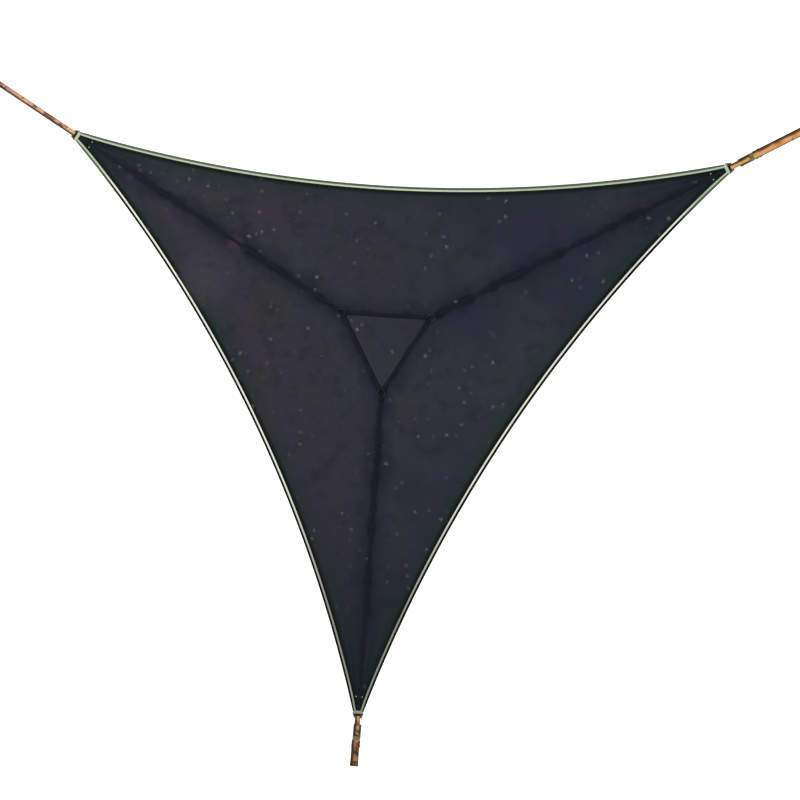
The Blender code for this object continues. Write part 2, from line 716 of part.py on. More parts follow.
def ratchet_handle_mesh():
    """Two arms on the spool, bent back along the frame, with a web under the grip and a spring seat."""
    at = polar_frame(HANDLE_ANGLE)
    far_at = polar_frame(HANDLE_ANGLE - HANDLE_BEND)
    tip = at(HANDLE_NEAR, 0) + far_at(HANDLE_FAR, 0)
    start = math.degrees(HANDLE_ANGLE)
    end = start - math.degrees(HANDLE_BEND)
    outline = arc((0, 0), HANDLE_NOSE, start + 125, start + 235, 12)
    outline.append(tuple(at(HANDLE_NEAR, -HANDLE_KNEE_HALF)))
    outline += arc(tuple(tip), HANDLE_TIP_HALF, end - 90, end + 90, 6)
    outline.append(tuple(at(HANDLE_NEAR, HANDLE_KNEE_HALF)))
    side = HANDLE_INSIDE + PLATE
    wide = THROUGH
    web = HANDLE_KNEE_HALF - PLATE
    behind_seat = HANDLE_SEAT + PLATE
    near_hollow = [at(-wide, -wide), at(HANDLE_SEAT, -wide), at(HANDLE_SEAT, wide), at(-wide, wide)]
    over_seat = [at(HANDLE_SEAT - PLATE, -wide), at(behind_seat + PLATE, -wide),
                 at(behind_seat + PLATE, -HANDLE_SEAT_DEPTH), at(HANDLE_SEAT - PLATE, -HANDLE_SEAT_DEPTH)]
    past_tip = tip + far_at(wide, 0)
    far_hollow = [at(behind_seat, -wide), past_tip + far_at(0, -wide),
                  past_tip + far_at(0, HANDLE_TIP_HALF - PLATE), at(HANDLE_NEAR, web), at(behind_seat, web)]
    cutters = [
        prism("near_hollow", near_hollow, -HANDLE_INSIDE, HANDLE_INSIDE),
        prism("over_seat", over_seat, -HANDLE_INSIDE, HANDLE_INSIDE),
        prism("far_hollow", far_hollow, -HANDLE_INSIDE, HANDLE_INSIDE),
        cylinder("handle_bore", (0, 0), MANDREL_RADIUS + BORE_EASE),
        slot_cutter("drive_slot", HANDLE_ANGLE, DRIVE_PAWL_END),
    ]
    return carved(prism("ratchet_handle", outline, -side, side), cutters)


def wheel_mesh():
    """A toothed wheel: each gap is centred on a multiple of the pitch."""
    pitch = 360 / TEETH
    root, tip = 4.6, 5.5  # half a gap's width at the root and at the tip, in degrees
    outline = []
    for i in range(TEETH):
        gap = i * pitch
        outline += arc((0, 0), WHEEL_ROOT, gap - root, gap + root, 1)
        outline += arc((0, 0), WHEEL_TIP, gap + tip, gap + pitch - tip, 1)
    wheel = prism("ratchet_wheel", outline, -WHEEL / 2, WHEEL / 2)
    return carved(wheel, [cylinder("wheel_bore", (0, 0), MANDREL_RADIUS + LAID_GAP)])


def mandrel_mesh():
    """The spool's shaft, headed outside the handle's arms, with a slot for the webbing."""
    neck = HANDLE_INSIDE + PLATE + MANDREL_HEAD_EASE
    stations = [(-MANDREL_HALF, MANDREL_HEAD_RADIUS), (-neck, MANDREL_HEAD_RADIUS), (-neck, MANDREL_RADIUS),
                (neck, MANDREL_RADIUS), (neck, MANDREL_HEAD_RADIUS), (MANDREL_HALF, MANDREL_HEAD_RADIUS)]
    across = (-MANDREL_SLOT_HALF, MANDREL_SLOT_HALF)
    slot = box("mandrel_slot", (-THROUGH, THROUGH), across, (-MANDREL_SLOT / 2, MANDREL_SLOT / 2))
    return carved(turned("mandrel", stations, 24), [slot])


def bolt_mesh():
    """The anchor bolt, with a head at one end and a nut at the other."""
    neck = FRAME_INSIDE + PLATE + LAID_GAP
    end = neck + BOLT_HEAD
    stations = [(-end, BOLT_HEAD_RADIUS), (-neck, BOLT_HEAD_RADIUS), (-neck, BOLT_RADIUS),
                (neck, BOLT_RADIUS), (neck, BOLT_HEAD_RADIUS), (end, BOLT_HEAD_RADIUS)]
    return turned("anchor_bolt", stations, 12)


def spring_mesh(name, angle, start, end):
    """A wire coil along a line through the spool's axis, from one radius to another."""
    along = Vector((math.cos(angle), 0, math.sin(angle)))
    beside = Vector((-along.z, 0, along.x))
    per_turn = 8
    steps = SPRING_TURNS * per_turn
    rings, middles = [], []
    for i in range(steps + 1):
        turn = 2 * math.pi * i / per_turn
        radial = beside * math.cos(turn) + Vector((0, math.sin(turn), 0))
        middle = along * (start + (end - start) * i / steps) + radial * SPRING_RADIUS
        middles.append(middle)
        rings.append([middle + radial * c + along * s for c, s in arc((0, 0), SPRING_WIRE, 0, 360, 6)[:-1]])
    print_least_gap(name, middles, 2 * SPRING_WIRE, per_turn)
    return loft(name, rings)


# Putting the pieces in place

def build_side(edge, shared):
    """A panel with its edge finish, its eyelets and the inner strap on its side of the centre."""
    turn = EDGE_ANGLES[edge]
    side = empty(f"side_{edge}", rotation=(0, 0, math.radians(turn)))
    place(f"panel_{edge}", shared["panel"], MESH_CLOTH, side)
    place(f"edge_binding_{edge}", shared["binding"], BINDING_CLOTH, side)
    place(f"edge_webbing_{edge}", shared["edge_webbing"], PALE_WEBBING, side)
    strap = place(f"inner_strap_{edge}", shared["inner_strap"], BLACK_WEBBING, side)
    strap.location.y = INNER_RADIUS / 2
    corners = {angle: corner for corner, angle in CORNER_ANGLES.items()}
    for mark, angle, (middle, normal) in zip("ab", (150, 30), shared["eyelet_places"]):
        corner = corners[(angle + turn) % 360]
        eyelet = place(f"eyelet_{corner}_{mark}", shared["eyelet"], BRIGHT_STEEL, side)
        eyelet.location = middle
        eyelet.rotation_euler = normal.to_track_quat("Z", "Y").to_euler()


def build_deck():
    panel = panel_mesh()
    places = eyelet_places(panel)
    shared = {
        "panel": carved(panel, [eyelet_hole(middle) for middle, _ in places]),
        "binding": binding_mesh(),
        "edge_webbing": edge_webbing_mesh(),
        "inner_strap": inner_strap_mesh(),
        "eyelet": eyelet_mesh(),
        "eyelet_places": places,
    }
    for edge in EDGE_ANGLES:
        build_side(edge, shared)
    place("panel_centre", centre_mesh(), MESH_CLOTH, None)


def build_corners():
    """The seam straps and rings, and the pull line at each corner for the suspension."""
    seam_strap = seam_strap_mesh()
    inner_ring = inner_ring_mesh()
    corner_loop = corner_loop_mesh()
    corner_ring = corner_ring_mesh()
    pulls = {}
    for corner, angle in CORNER_ANGLES.items():
        line = empty(f"seam_line_{corner}", rotation=(0, 0, math.radians(angle)))
        place(f"seam_strap_{corner}", seam_strap, BLACK_WEBBING, line)
        ring = place(f"inner_ring_{corner}", inner_ring, BLACK_STEEL, line, smooth=True)
        ring.location = (INNER_RADIUS, 0, INNER_RING_HEIGHT)
        tip = (TIP_RADIUS, 0, TIP_RISE - CLOTH / 2)
        pull = empty(f"pull_line_{corner}", line, tip, (0, -TIP_SLOPE, 0))
        place(f"corner_loop_{corner}", corner_loop, PALE_WEBBING, pull)
        place(f"corner_ring_{corner}", corner_ring, BRIGHT_STEEL, pull, smooth=True)
        pulls[corner] = pull
    return pulls


def ratchet_pieces():
    """Name, mesh, material and smoothness of the pieces about the spool's axis."""
    drive_half = HANDLE_INSIDE + PLATE + PAWL_PROUD
    lock_half = WHEEL_INSIDE + WHEEL
    lock_seat = -FLOOR_END / math.cos(math.pi - LOCK_ANGLE) - LOCK_SPRING_EASE
    drive_seat = HANDLE_SEAT - SPRING_EASE
    drive_pawl = pawl_mesh("drive_pawl", HANDLE_ANGLE, DRIVE_PAWL_END, drive_half)
    lock_pawl = pawl_mesh("lock_pawl", LOCK_ANGLE, LOCK_PAWL_END, lock_half)
    lock_spring = spring_mesh("lock_spring", LOCK_ANGLE, LOCK_PAWL_END + SPRING_EASE, lock_seat)
    drive_spring = spring_mesh("drive_spring", HANDLE_ANGLE, DRIVE_PAWL_END + SPRING_EASE, drive_seat)
    return [
        ("ratchet_frame", ratchet_frame_mesh(), ZINC_STEEL, False),
        ("ratchet_handle", ratchet_handle_mesh(), ZINC_STEEL, False),
        ("drive_pawl", drive_pawl, BRIGHT_STEEL, False),
        ("drive_spring", drive_spring, BRIGHT_STEEL, True),
        ("lock_pawl", lock_pawl, BRIGHT_STEEL, False),
        ("lock_spring", lock_spring, BRIGHT_STEEL, True),
        ("mandrel", mandrel_mesh(), BRIGHT_STEEL, True),
        ("strap_winding", winding_mesh(), ORANGE_WEBBING, False),
    ]


def build_ratchets(pulls):
    link_strap = link_strap_mesh()
    bolt_shape = bolt_mesh()
    wheel_shape = wheel_mesh()
    strap_shape = ratchet_strap_mesh()
    pieces = ratchet_pieces()
    for corner, end in SLING_ENDS.items():
        place(f"link_strap_{corner}", link_strap, ORANGE_WEBBING, pulls[corner])
        axis = empty(f"spool_axis_{corner}", pulls[corner], (SPOOL_X, 0, -BOLT_Z))
        for name, mesh, material, smooth in pieces:
            place(f"{name}_{corner}", mesh, material, axis, smooth)
        bolt = place(f"anchor_bolt_{corner}", bolt_shape, BRIGHT_STEEL, axis, smooth=True)
        bolt.location = (BOLT_X, 0, BOLT_Z)
        for mark, sign in (("a", -1), ("b", 1)):
            wheel = place(f"ratchet_wheel_{mark}_{corner}", wheel_shape, BRIGHT_STEEL, axis)
            wheel.location.y = sign * (WHEEL_INSIDE + WHEEL / 2)
        place(f"tree_strap_{corner}", strap_shape, ORANGE_WEBBING, axis)
        place(f"tree_sling_{corner}", sling_mesh(end), ORANGE_WEBBING, axis)


build_deck()
pull_lines = build_corners()
build_ratchets(pull_lines)
place("tree_strap_left", plain_strap_mesh(), ORANGE_WEBBING, pull_lines["left"])
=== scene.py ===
"""Looks of a three-point tree hammock: a triangular mesh deck hung level between three trees.

Every length is in metres, in the frame of the solids: +Z up, +Y to the rear, and the origin in
the middle of the centre panel's top face. Each soft piece is a surface worked out on a grid and
lies where the solid that it replaces lies. The steel pieces of the ratchets keep their solids.
"""

import math

import bpy
import numpy as np
from mathutils import Matrix


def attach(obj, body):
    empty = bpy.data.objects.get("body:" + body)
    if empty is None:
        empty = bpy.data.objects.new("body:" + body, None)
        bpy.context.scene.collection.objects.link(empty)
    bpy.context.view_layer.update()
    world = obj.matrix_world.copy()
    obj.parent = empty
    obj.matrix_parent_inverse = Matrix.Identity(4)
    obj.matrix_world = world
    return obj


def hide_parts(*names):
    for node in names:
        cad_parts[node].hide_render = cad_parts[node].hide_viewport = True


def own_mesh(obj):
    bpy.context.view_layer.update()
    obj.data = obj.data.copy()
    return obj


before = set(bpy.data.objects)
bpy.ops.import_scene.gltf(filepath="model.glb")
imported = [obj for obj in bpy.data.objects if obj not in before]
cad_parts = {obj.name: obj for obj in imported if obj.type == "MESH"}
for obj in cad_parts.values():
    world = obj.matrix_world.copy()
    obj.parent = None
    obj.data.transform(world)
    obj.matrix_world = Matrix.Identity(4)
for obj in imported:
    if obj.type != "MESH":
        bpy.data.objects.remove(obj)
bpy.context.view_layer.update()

# Deck
SIDE = 6.0
TIP_RADIUS = SIDE / math.sqrt(3)
TIP_HALF_WIDTH = 0.048
SCALLOP = 0.335
TIP_RISE = 0.20
EDGE_DIP = 0.115
BILLOW = 0.02
CLOTH = 0.0015
SEAM_GAP = 0.0008
SEAM_FLAT = 0.0165
CENTRE_RADIUS = 0.450
SEAM_LENGTH = TIP_RADIUS - CENTRE_RADIUS
CENTRE_SIDE = CENTRE_RADIUS * math.sqrt(3)
SEAM_SHARE = SEAM_LENGTH / (2 * SEAM_LENGTH + CENTRE_SIDE)
SEAM_CURVE = 0.25  # the share of a seam's rise that goes with the square of the way out
TIP_SLOPE = math.atan((1 + SEAM_CURVE) * TIP_RISE / SEAM_LENGTH)

# Spacing of the points along straps and tapes
SEAM_STEP = 0.02
INNER_STEP = 0.012
TAPE_STEP = 0.04
TIP_STEP = 0.003
LOOP_STEP = 0.0025
STRAP_STEP = 0.004
WINDING_STEP = 0.0012

# Grids, and the cloth's folds
ARC_POINTS = 17
BEND_POINTS = 9
SECTION_POINTS = 28
SEAM_POINTS = 40
SEAM_ROW_POINTS = 60
SEAM_TAPE_POINTS = 30
U_STEPS = 260
OPEN_ROWS = 44
EDGE_POINTS = 620
STITCHED_POINTS = 900
STITCHES_START = 6  # of these points, from a tip
CENTRE_ROWS = 31
CENTRE_TIP = 0.004  # the centre panel's front row is this share of its rear one
FOLD_HEIGHT = 0.0045
FOLD_REACH = 0.42  # the folds that fan out of a tip are highest this far from it
FOLD_COUNT = 2.6
PUCKER_HEIGHT = 0.0016
PUCKER_LENGTH = 0.085
PUCKER_REACH = 0.07
SLACK_HEIGHT = 0.004

# Edge binding and webbing
BINDING_WIDTH = 0.048
BINDING_WALL = 0.0012
BINDING_EASE = 0.00035
BINDING_TOP = CLOTH / 2 + BINDING_EASE + BINDING_WALL
BINDING_BEND = 0.4 * CLOTH  # the middle of its bend, in from the cloth's edge
BINDING_LEG_POINTS = 6
BINDING_LEG_END = 0.05  # of the reach, where a leg meets the bend
TIP_FREE_WIDTH = 0.020
EDGE_WEBBING_WIDTH = 0.016
EDGE_WEBBING_SETBACK = 0.020
TIP_SETBACK_SHARE = 0.6
TIP_SETBACK_LENGTH = 0.10
EDGE_WEBBING = 0.0016
EDGE_WEBBING_LOW = BINDING_TOP + 0.00028
LAID_GAP = 0.0003

# Stitches
STITCH = 0.0042
STITCH_PITCH = 0.0056
STITCH_HALF = 0.00055
STITCH_FLATNESS = 0.7
THREAD_LIFT = 0.0001
ROW_INSET = 0.003  # of a row of stitches, from the edge of its webbing or tape

# Eyelets
EYELET_BORE = 0.003  # inside the rolled lip
EYELET_BARREL = 0.0052
EYELET_FLANGE = 0.009
EYELET_LIP = 0.0014
EYELET_ROLL = 0.0009
EYELET_WAIST = 0.0011
EYELET_SIDES = 48
EYELET_HOLE = EYELET_BARREL + 0.0002  # in the cloth
PUNCH_HALF = 0.02
PUNCH_SIDES = 32

# Deck straps and rings
STRAP_WIDTH = 0.028
STRAP = 0.002
STRAP_LIFT = 0.002
INNER_STRAP_LIFT = 0.003
INNER_RADIUS = 0.4907
INNER_RING_RADIUS = 0.035
INNER_WIRE = 0.0035
INNER_RING_HEIGHT = 0.012
WELD_SHARE = 0.012  # of a ring's length
INNER_BEAD = 0.09
INNER_RING_POINTS = 128
INNER_RING_SIDES = 16
INNER_RING_START = 1.0  # in radians, half a turn from its weld
FOLD_SLACK = 0.0036
FOLD_RADIUS = INNER_WIRE + 0.0004 + STRAP / 2
FOLD_UNDER = 0.010  # beyond the wire, where the layer under it leaves the fold
FOLD_OVER = 0.012
SEAM_WIRE = INNER_RADIUS + INNER_RING_RADIUS  # the far side of an inner ring, from the centre
SIDE_WIRE = INNER_RADIUS * math.sqrt(3) / 2 - INNER_RING_RADIUS  # its near side, from a side's middle
SEAM_STRAP_SETBACK = 0.004
SEAM_STRAP_LANDS = 0.050  # beyond the wire, where the seam strap comes down on the cloth
SEAM_TAIL_LANDS = 0.045
INNER_STRAP_LANDS = 0.040
INNER_TAIL_LANDS = 0.035
SEWN_TAIL = 0.09
SEWN_HALF = 0.0105  # from a deck strap's middle to its rows of stitches
SEAM_ROWS_START = 0.01
SEAM_ROWS_END = 0.10
SEAM_BOX = (0.050, 0.086)  # of the stitches on a tail, from the wire
SEAM_BOX_LIFT = 0.0009
INNER_BOX = (0.086, 0.045)
SEAM_TAPE_WIDTH = 0.026
SEAM_TAPE = 0.0012
SEAM_TAPE_DROP = CLOTH / 2 + LAID_GAP + SEAM_TAPE / 2  # below the cloth's middle
SEAM_TAPE_SETBACK = 0.07
SEAM_TAPE_OVERLAP = 0.03
CENTRE_TAPE_SETBACK = 0.012

# Corner loop, ring and guard
CORNER_LOOP_HALF_WIDTH = 0.039
CORNER_LOOP_LEGS = (0.012, 0.045)
CORNER_LOOP = 0.002
CORNER_LOOP_OVER = 0.0070
CORNER_LOOP_UNDER = 0.0038
CORNER_LOOP_BENDS = (0.004, -0.010)
LOOP_ROWS_OVER = (-0.009, -0.006)
LOOP_ROWS_UNDER = (-0.020, -0.040)
LOOP_ROW_INSET = 0.004
CORNER_WIRE = 0.006
WIRE_EASE = 0.0005
CORNER_BAR_X = 0.009
CORNER_BAR_HALF = 0.050
OUTER_BAR_X = 0.046
OUTER_BAR_HALF = 0.0365
CORNER_RING_BEND = 0.009
CORNER_BEND_POINTS = 13
CORNER_BAR_POINTS = 12
CORNER_RING_SIDES = 24
CORNER_BEAD = 0.06
GUARD_WIDTH = 0.080
GUARD_PATH = ((-0.042, -0.0066), (-0.010, -0.0066), (0.006, -0.0098), (0.060, -0.0098))
GUARD_PATCH_WIDTH = 0.034
GUARD_PATCH_PATH = ((0.019, -0.0073), (0.0365, -0.0073))

# Suspension
SPOOL_X = 0.315
BOLT_X = -0.100
BOLT_Z = 0.009
BOLT_RADIUS = 0.0055
MANDREL_RADIUS = 0.0095
WEBBING_WIDTH = 0.050
WEBBING = 0.002
WINDING_TURNS = 2.25
WINDING_PITCH = 0.0027
WINDING_POINTS = 90
WINDING_START = MANDREL_RADIUS + 0.0004 + WEBBING / 2
WINDING_END = WINDING_START + WINDING_TURNS * WINDING_PITCH
SLOT_START = MANDREL_RADIUS - 0.001  # where the webbing ends in the mandrel's slot
SLOT_EXIT = 0.25  # where it has left the slot, in radians
STRAP_HEIGHT = WINDING_END + WEBBING + LAID_GAP
FOLD_LENGTH = 0.030
LINK_X = OUTER_BAR_X + FOLD_LENGTH
SPLICE = 0.050
SPLICE_END = 0.006
LINK_START = 0.010
LINK_STEP_END = 0.004
EYE_LENGTH = 0.080
EYE_HALF_HEIGHT = 0.021
EYE_SLOPE_LENGTH = 0.035
EYE_SLOPE_RISE = 0.6
EYE_SLOPE_FALL = 0.65
EYE_UNDER_START = 0.002
RATCHET_STRAP_END = 0.075
SLING_WIDTH = 0.075
SLING_START = 0.034
SLING_HEIGHT = STRAP_HEIGHT + WEBBING + 2 * LAID_GAP
SLING_ENDS = {"front": 0.185, "right": 0.575}
WHEEL_TIP = 0.027
COVER_HEIGHT = WHEEL_TIP + 0.0013 + WEBBING / 2  # a sling's loose end lies over the ratchet's wheels
COVER_RISES = 0.012
COVER_DROOPS = -0.032
COVER_END = (-0.058, COVER_HEIGHT - 0.0025)
PLAIN_STRAP_END = 0.92
BOX_INSET = 0.003  # of a box of stitches, from the end of its splice
WIDE_BOX_INSET = 0.004
BOX_SIDE_INSET = 0.005
LINK_BOX_INSET = 0.013
RING_BOX_INSET = 0.010
DRIVE_ANGLE = math.radians(195)
LOCK_ANGLE = math.radians(165)
DRIVE_SPRING = (0.049, 0.061)  # from the spool's axis
LOCK_SPRING = (0.045, 0.0572)
SPRING_RADIUS = 0.003
SPRING_WIRE = 0.0005
SPRING_TURNS = 5
SPRING_TURN_POINTS = 28
SPRING_SIDES = 10
MERGE_DISTANCE = 0.00001  # of the corners of a solid's loose triangles
EDGE_ROUNDING = 0.0005
TOOTH_ROUNDING = 0.0003
ROUNDED_ANGLE = math.radians(40)  # steel edges sharper than this are rounded

CORNER_ANGLES = {"right": 30, "left": 150, "front": 270}
EDGE_ANGLES = {"rear": 0, "left": 120, "right": 240}
EDGE_EYELETS = {
    "rear": ("eyelet_left_a", "eyelet_right_b"),
    "left": ("eyelet_front_a", "eyelet_left_b"),
    "right": ("eyelet_right_a", "eyelet_front_b"),
}
UP = np.array([0.0, 0.0, 1.0])
SHARP_ANGLE = math.radians(50)  # faces that meet more sharply are shaded as an edge

# Camera, from the photograph: nearly straight down from 12 m
VIEW_TARGET = (0.19, -0.539, 0.1)
VIEW_BACK = (0.0944, 0.0328, 1.0)
VIEW_DISTANCE = 12.0
VIEW_ROLL = math.radians(3.79)
VIEW_LENS = 58.0
FLOOR_HEIGHT = -4.0
FLOOR_HALF = 80.0


# Materials

def linear(hex_colour):
    """The linear red, green, blue and alpha of an sRGB hex colour."""
    values = np.array([int(hex_colour[i:i + 2], 16) for i in (1, 3, 5)]) / 255
    low = values / 12.92
    high = ((values + 0.055) / 1.055) ** 2.4
    return (*np.where(values <= 0.04045, low, high).tolist(), 1.0)


def add(tree, kind, inputs=None, output=0, **settings):
    """Adds a shader node and gives its output. inputs holds values, or outputs that feed it."""
    made = tree.nodes.new(f"ShaderNode{kind}")
    for name, value in settings.items():
        setattr(made, name, value)
    for key, value in (inputs or {}).items():
        if isinstance(value, bpy.types.NodeSocket):
            tree.links.new(value, made.inputs[key])
        else:
            made.inputs[key].default_value = value
    return made.outputs[output]


class Finish:
    """A Principled material that is painted layer by layer. values are set on its shader."""

    def __init__(self, name, colour, **values):
        self.material = bpy.data.materials.new(name)
        self.material.use_nodes = True
        self.tree = self.material.node_tree
        self.shader = self.tree.nodes["Principled BSDF"]
        for key, value in values.items():
            self.shader.inputs[key.replace("_", " ").title().replace("Ior", "IOR")].default_value = value
        self.colour = linear(colour)
        self.shader.inputs["Base Color"].default_value = self.colour
        self.place = self.add("TexCoord", output="Object")

    def add(self, kind, inputs=None, output=0, **settings):
        """Adds a node to the material and gives its output."""
        return add(self.tree, kind, inputs, output, **settings)

    def share(self, *parts):
        """The product of shares, each a number, an output, or an output and where it is 0 and 1.

        An output rises by a smooth step where the place of 1 is above the place of 0, and falls
        evenly where it is below.
        """
        shares = []
        for part in parts:
            if isinstance(part, tuple):
                inputs = dict(zip(("Value", "From Min", "From Max"), part))
                way = "SMOOTHSTEP" if part[1] < part[2] else "LINEAR"
                part = self.add("MapRange", inputs, interpolation_type=way)
            shares.append(part)
        result = shares[0]
        for part in shares[1:]:
            result = self.add("Math", {0: result, 1: part}, operation="MULTIPLY")
        return result

    def paint(self, colour, *parts):
        """Lays a colour over the one so far, by the product of some shares."""
        inputs = {0: self.share(*parts), 6: self.colour, 7: linear(colour)}
        self.colour = self.add("Mix", inputs, 2, data_type="RGBA")

    def patches(self, size, detail=3.0, roughness=0.5, limits=None, at=None):
        """Noise with patches about size metres across, or its rise from 0 to 1 between two limits."""
        inputs = {"Vector": at or self.place, "Scale": 1 / size, "Detail": detail, "Roughness": roughness}
        cloudy = self.add("TexNoise", inputs, "Fac")
        return self.share((cloudy, *limits)) if limits else cloudy

    def ragged(self, value, rag, depth):
        """A distance made uneven by a noise times a depth in metres, for an edge that isn't straight."""
        return self.add("Math", {0: rag, 1: depth, 2: value}, operation="MULTIPLY_ADD")

    def stain(self, stains):
        """A few ragged stains. Each has a middle, a radius and a colour of its own."""
        rag = self.patches(0.06, 4.0)
        for middle, radius, colour in stains:
            away = self.add("VectorMath", {0: self.place, 1: middle}, "Value", operation="DISTANCE")
            self.paint(colour, (self.ragged(away, rag, radius), 1.6 * radius, 0.5 * radius), 0.85)

    def weave(self, vector, *threads):
        """Threads that cross. Each set is bands in a direction, one every spacing metres.

        A third value bends the bands a little.
        """
        wave_period = math.pi / 10  # of Blender's wave texture at scale 1
        bands = []
        for direction, spacing, *bend in threads:
            inputs = {"Vector": vector, "Scale": wave_period / spacing, "Distortion": sum(bend)}
            bands.append(self.add("TexWave", inputs, "Fac", bands_direction=direction))
        return self.share(*bands)

    def done(self, relief=None, depth=0.0):
        """The material in its colour so far, with a relief of a depth in metres."""
        self.tree.links.new(self.colour, self.shader.inputs["Base Color"])
        if relief is not None:
            inputs = {"Height": relief, "Distance": depth, "Strength": 1.0}
            self.tree.links.new(self.add("Bump", inputs), self.shader.inputs["Normal"])
        return self.material


FIBRE_GLOSS = 0.15  # fibres scatter light, so cloth and webbing shine less than the plastic they are of
SCRATCH = 0.35  # how much scratches change a plating's roughness

# Stains, and at (0.36, -1.35) a darker patch right of the front seam, low down.
CLOTH_MARKS = (
    ((-1.99, 1.20, 0.10), 0.060, "#10142c"), ((-2.14, 1.10, 0.10), 0.035, "#4b343c"),
    ((-2.50, 1.38, 0.12), 0.050, "#45303a"), ((2.35, 1.18, 0.12), 0.080, "#17182f"),
    ((0.36, -1.35, 0.0), 0.220, "#232931"), ((-1.47, 0.83, 0.05), 0.090, "#4a343e"),
    ((1.01, 0.12, 0.0), 0.045, "#464654"), ((-1.75, 0.45, 0.05), 0.300, "#413c45"))
WEBBING_STAINS = (
    ((0.0, -3.85, 0.23), 0.150, "#a17a4c"), ((-3.72, 2.15, 0.25), 0.20, "#93806e"),
    ((3.15, 1.82, 0.22), 0.030, "#dcb463"), ((3.42, 1.99, 0.24), 0.050, "#a5520f"),
    ((3.56, 2.06, 0.25), 0.030, "#b0601c"), ((-0.02, -3.71, 0.22), 0.035, "#7d7268"),
    ((0.01, -3.92, 0.24), 0.040, "#c99d86"), ((-3.12, 1.77, 0.21), 0.035, "#d3a793"),
    ((-3.06, 1.74, 0.20), 0.020, "#3a2a1c"))


def mesh_cloth():
    """Polyester mesh, knitted: matt, nearly opaque from afar, grey to navy with leaf dust in it."""
    mesh = Finish("polyester_mesh", "#34303b", roughness=0.85, specular_ior_level=FIBRE_GLOSS)
    from_seam = mesh.add("Attribute", output="Fac", attribute_name="from_seam")
    from_edge = mesh.add("Attribute", output="Fac", attribute_name="from_edge")
    rightwards, rearwards = mesh.add("SeparateXYZ", {0: mesh.place}).node.outputs[:2]
    aside = mesh.add("Mapping", {"Vector": mesh.place, "Location": (7.0, 3.0, 0.0)})
    # Left of the middle the cloth is browner, right of it bluer.
    browner = mesh.share((rightwards, 1.0, -1.0))
    mesh.paint("#252839", (rightwards, -1.5, 1.7))
    mesh.paint("#30313a", mesh.patches(0.9, 4.0, limits=(0.40, 0.66)))
    mesh.paint("#34312b", browner, mesh.patches(0.5, 4.0, limits=(0.50, 0.68), at=aside), 0.6)
    mesh.paint("#45303a", browner, mesh.patches(0.10, limits=(0.58, 0.74), at=aside), 0.5)
    mesh.paint("#2a2e2d", mesh.patches(0.22, 6.0, 0.6, limits=(0.48, 0.70), at=aside), 0.6)
    mesh.paint("#24262f", mesh.patches(0.16, 6.0, 0.6, limits=(0.46, 0.74)))
    # Along a seam the cloth is painted with shade, for the valley and shadow along its strap, in a
    # ragged band that comes and goes; close in, where the cloth is also doubled, it is darker still.
    shaded = mesh.ragged(from_seam, mesh.patches(0.10, 4.0), 0.20)
    mesh.paint("#12152b", (shaded, 0.30, 0.10), mesh.patches(0.6, 2.0, limits=(0.2, 0.55)), 0.85)
    doubled_and_shaded = mesh.ragged(from_seam, mesh.patches(0.18, 2.0), 0.16)
    mesh.paint("#090b18", (doubled_and_shaded, 0.13, 0.085), 0.9)
    # A green cast comes and goes along the binding. Towards the binding the cloth is painted with
    # shade, nearly black right beside it, where the cloth is also doubled.
    mesh.paint("#16301f", (from_edge, 0.24, 0.06), mesh.patches(0.7, 2.0, limits=(0.35, 0.6)), 0.55)
    mesh.paint("#1b2a2a", (from_edge, 0.26, 0.045), 0.45)
    mesh.paint("#080f0a", (from_edge, 0.088, 0.054))
    # Towards each tip, and most at the front, the cloth is darker.
    from_centre = mesh.add("VectorMath", {0: mesh.place}, "Value", operation="LENGTH")
    mesh.paint("#131a22", (from_centre, 2.4, 3.4), 0.35)
    mesh.paint("#111a20", (rearwards, -1.3, -3.2), 0.55)
    # Leaf dust: scattered, ragged specks 10 to 30 mm wide.
    inputs = {"Vector": mesh.place, "Scale": 7.5, "Randomness": 1.0}
    cells = mesh.add("TexVoronoi", inputs, voronoi_dimensions="2D").node.outputs
    crumbled = mesh.ragged(cells["Distance"], mesh.patches(0.014, 2.0), 0.38)
    scattered = mesh.patches(0.30, limits=(0.50, 0.66))
    uneven = mesh.add("SeparateColor", {0: cells["Color"]})
    mesh.paint("#84868c", (crumbled, 0.35, 0.23), scattered, uneven, 0.5)
    mesh.stain(CLOTH_MARKS)
    # The holes are 2 mm apart in the real cloth and drawn 5 mm apart, or they wouldn't show.
    holes = mesh.weave(mesh.add("UVMap", uv_map="cloth"), ("X", 0.005), ("Y", 0.005))
    mesh.paint("#3c3e48", holes, 0.22)
    return mesh.done(holes, 0.0006)


def weather_and_shade(webbing, shade_and_rims):
    """Each strap has weathered its own way: the front one is brown, the left one reddish.

    Both are blotched. The shade colour is painted shade over about a third of the width along one
    edge, where the strap curls from the light; it shades into the rest and also rims both edges.
    """
    rightwards, rearwards = webbing.add("SeparateXYZ", {0: webbing.place}).node.outputs[:2]
    front = webbing.share((rearwards, -3.45, -3.62))
    left = webbing.share((rightwards, -2.9, -3.2))
    either = webbing.add("Math", {0: front, 1: left}, operation="ADD")
    webbing.paint("#6b3806", front, webbing.patches(0.05), 0.95)
    webbing.paint("#d09a90", left, webbing.patches(0.07))
    webbing.paint("#421d0a", either, webbing.patches(0.05, 2.0, limits=(0.50, 0.60)), 0.75)
    across = webbing.add("Attribute", output="Fac", attribute_name="across")
    # Painted shade: the side of the strap that curls away from the light.
    webbing.paint(shade_and_rims, (webbing.ragged(across, webbing.patches(0.12, 2.0), 0.3), 0.64, 0.90), 0.92)
    off_centre = webbing.add("Math", {0: across, 1: 0.5}, operation="SUBTRACT")
    to_rim = webbing.add("Math", {0: off_centre}, operation="ABSOLUTE")
    webbing.paint(shade_and_rims, (to_rim, 0.30, 0.46), 0.85)


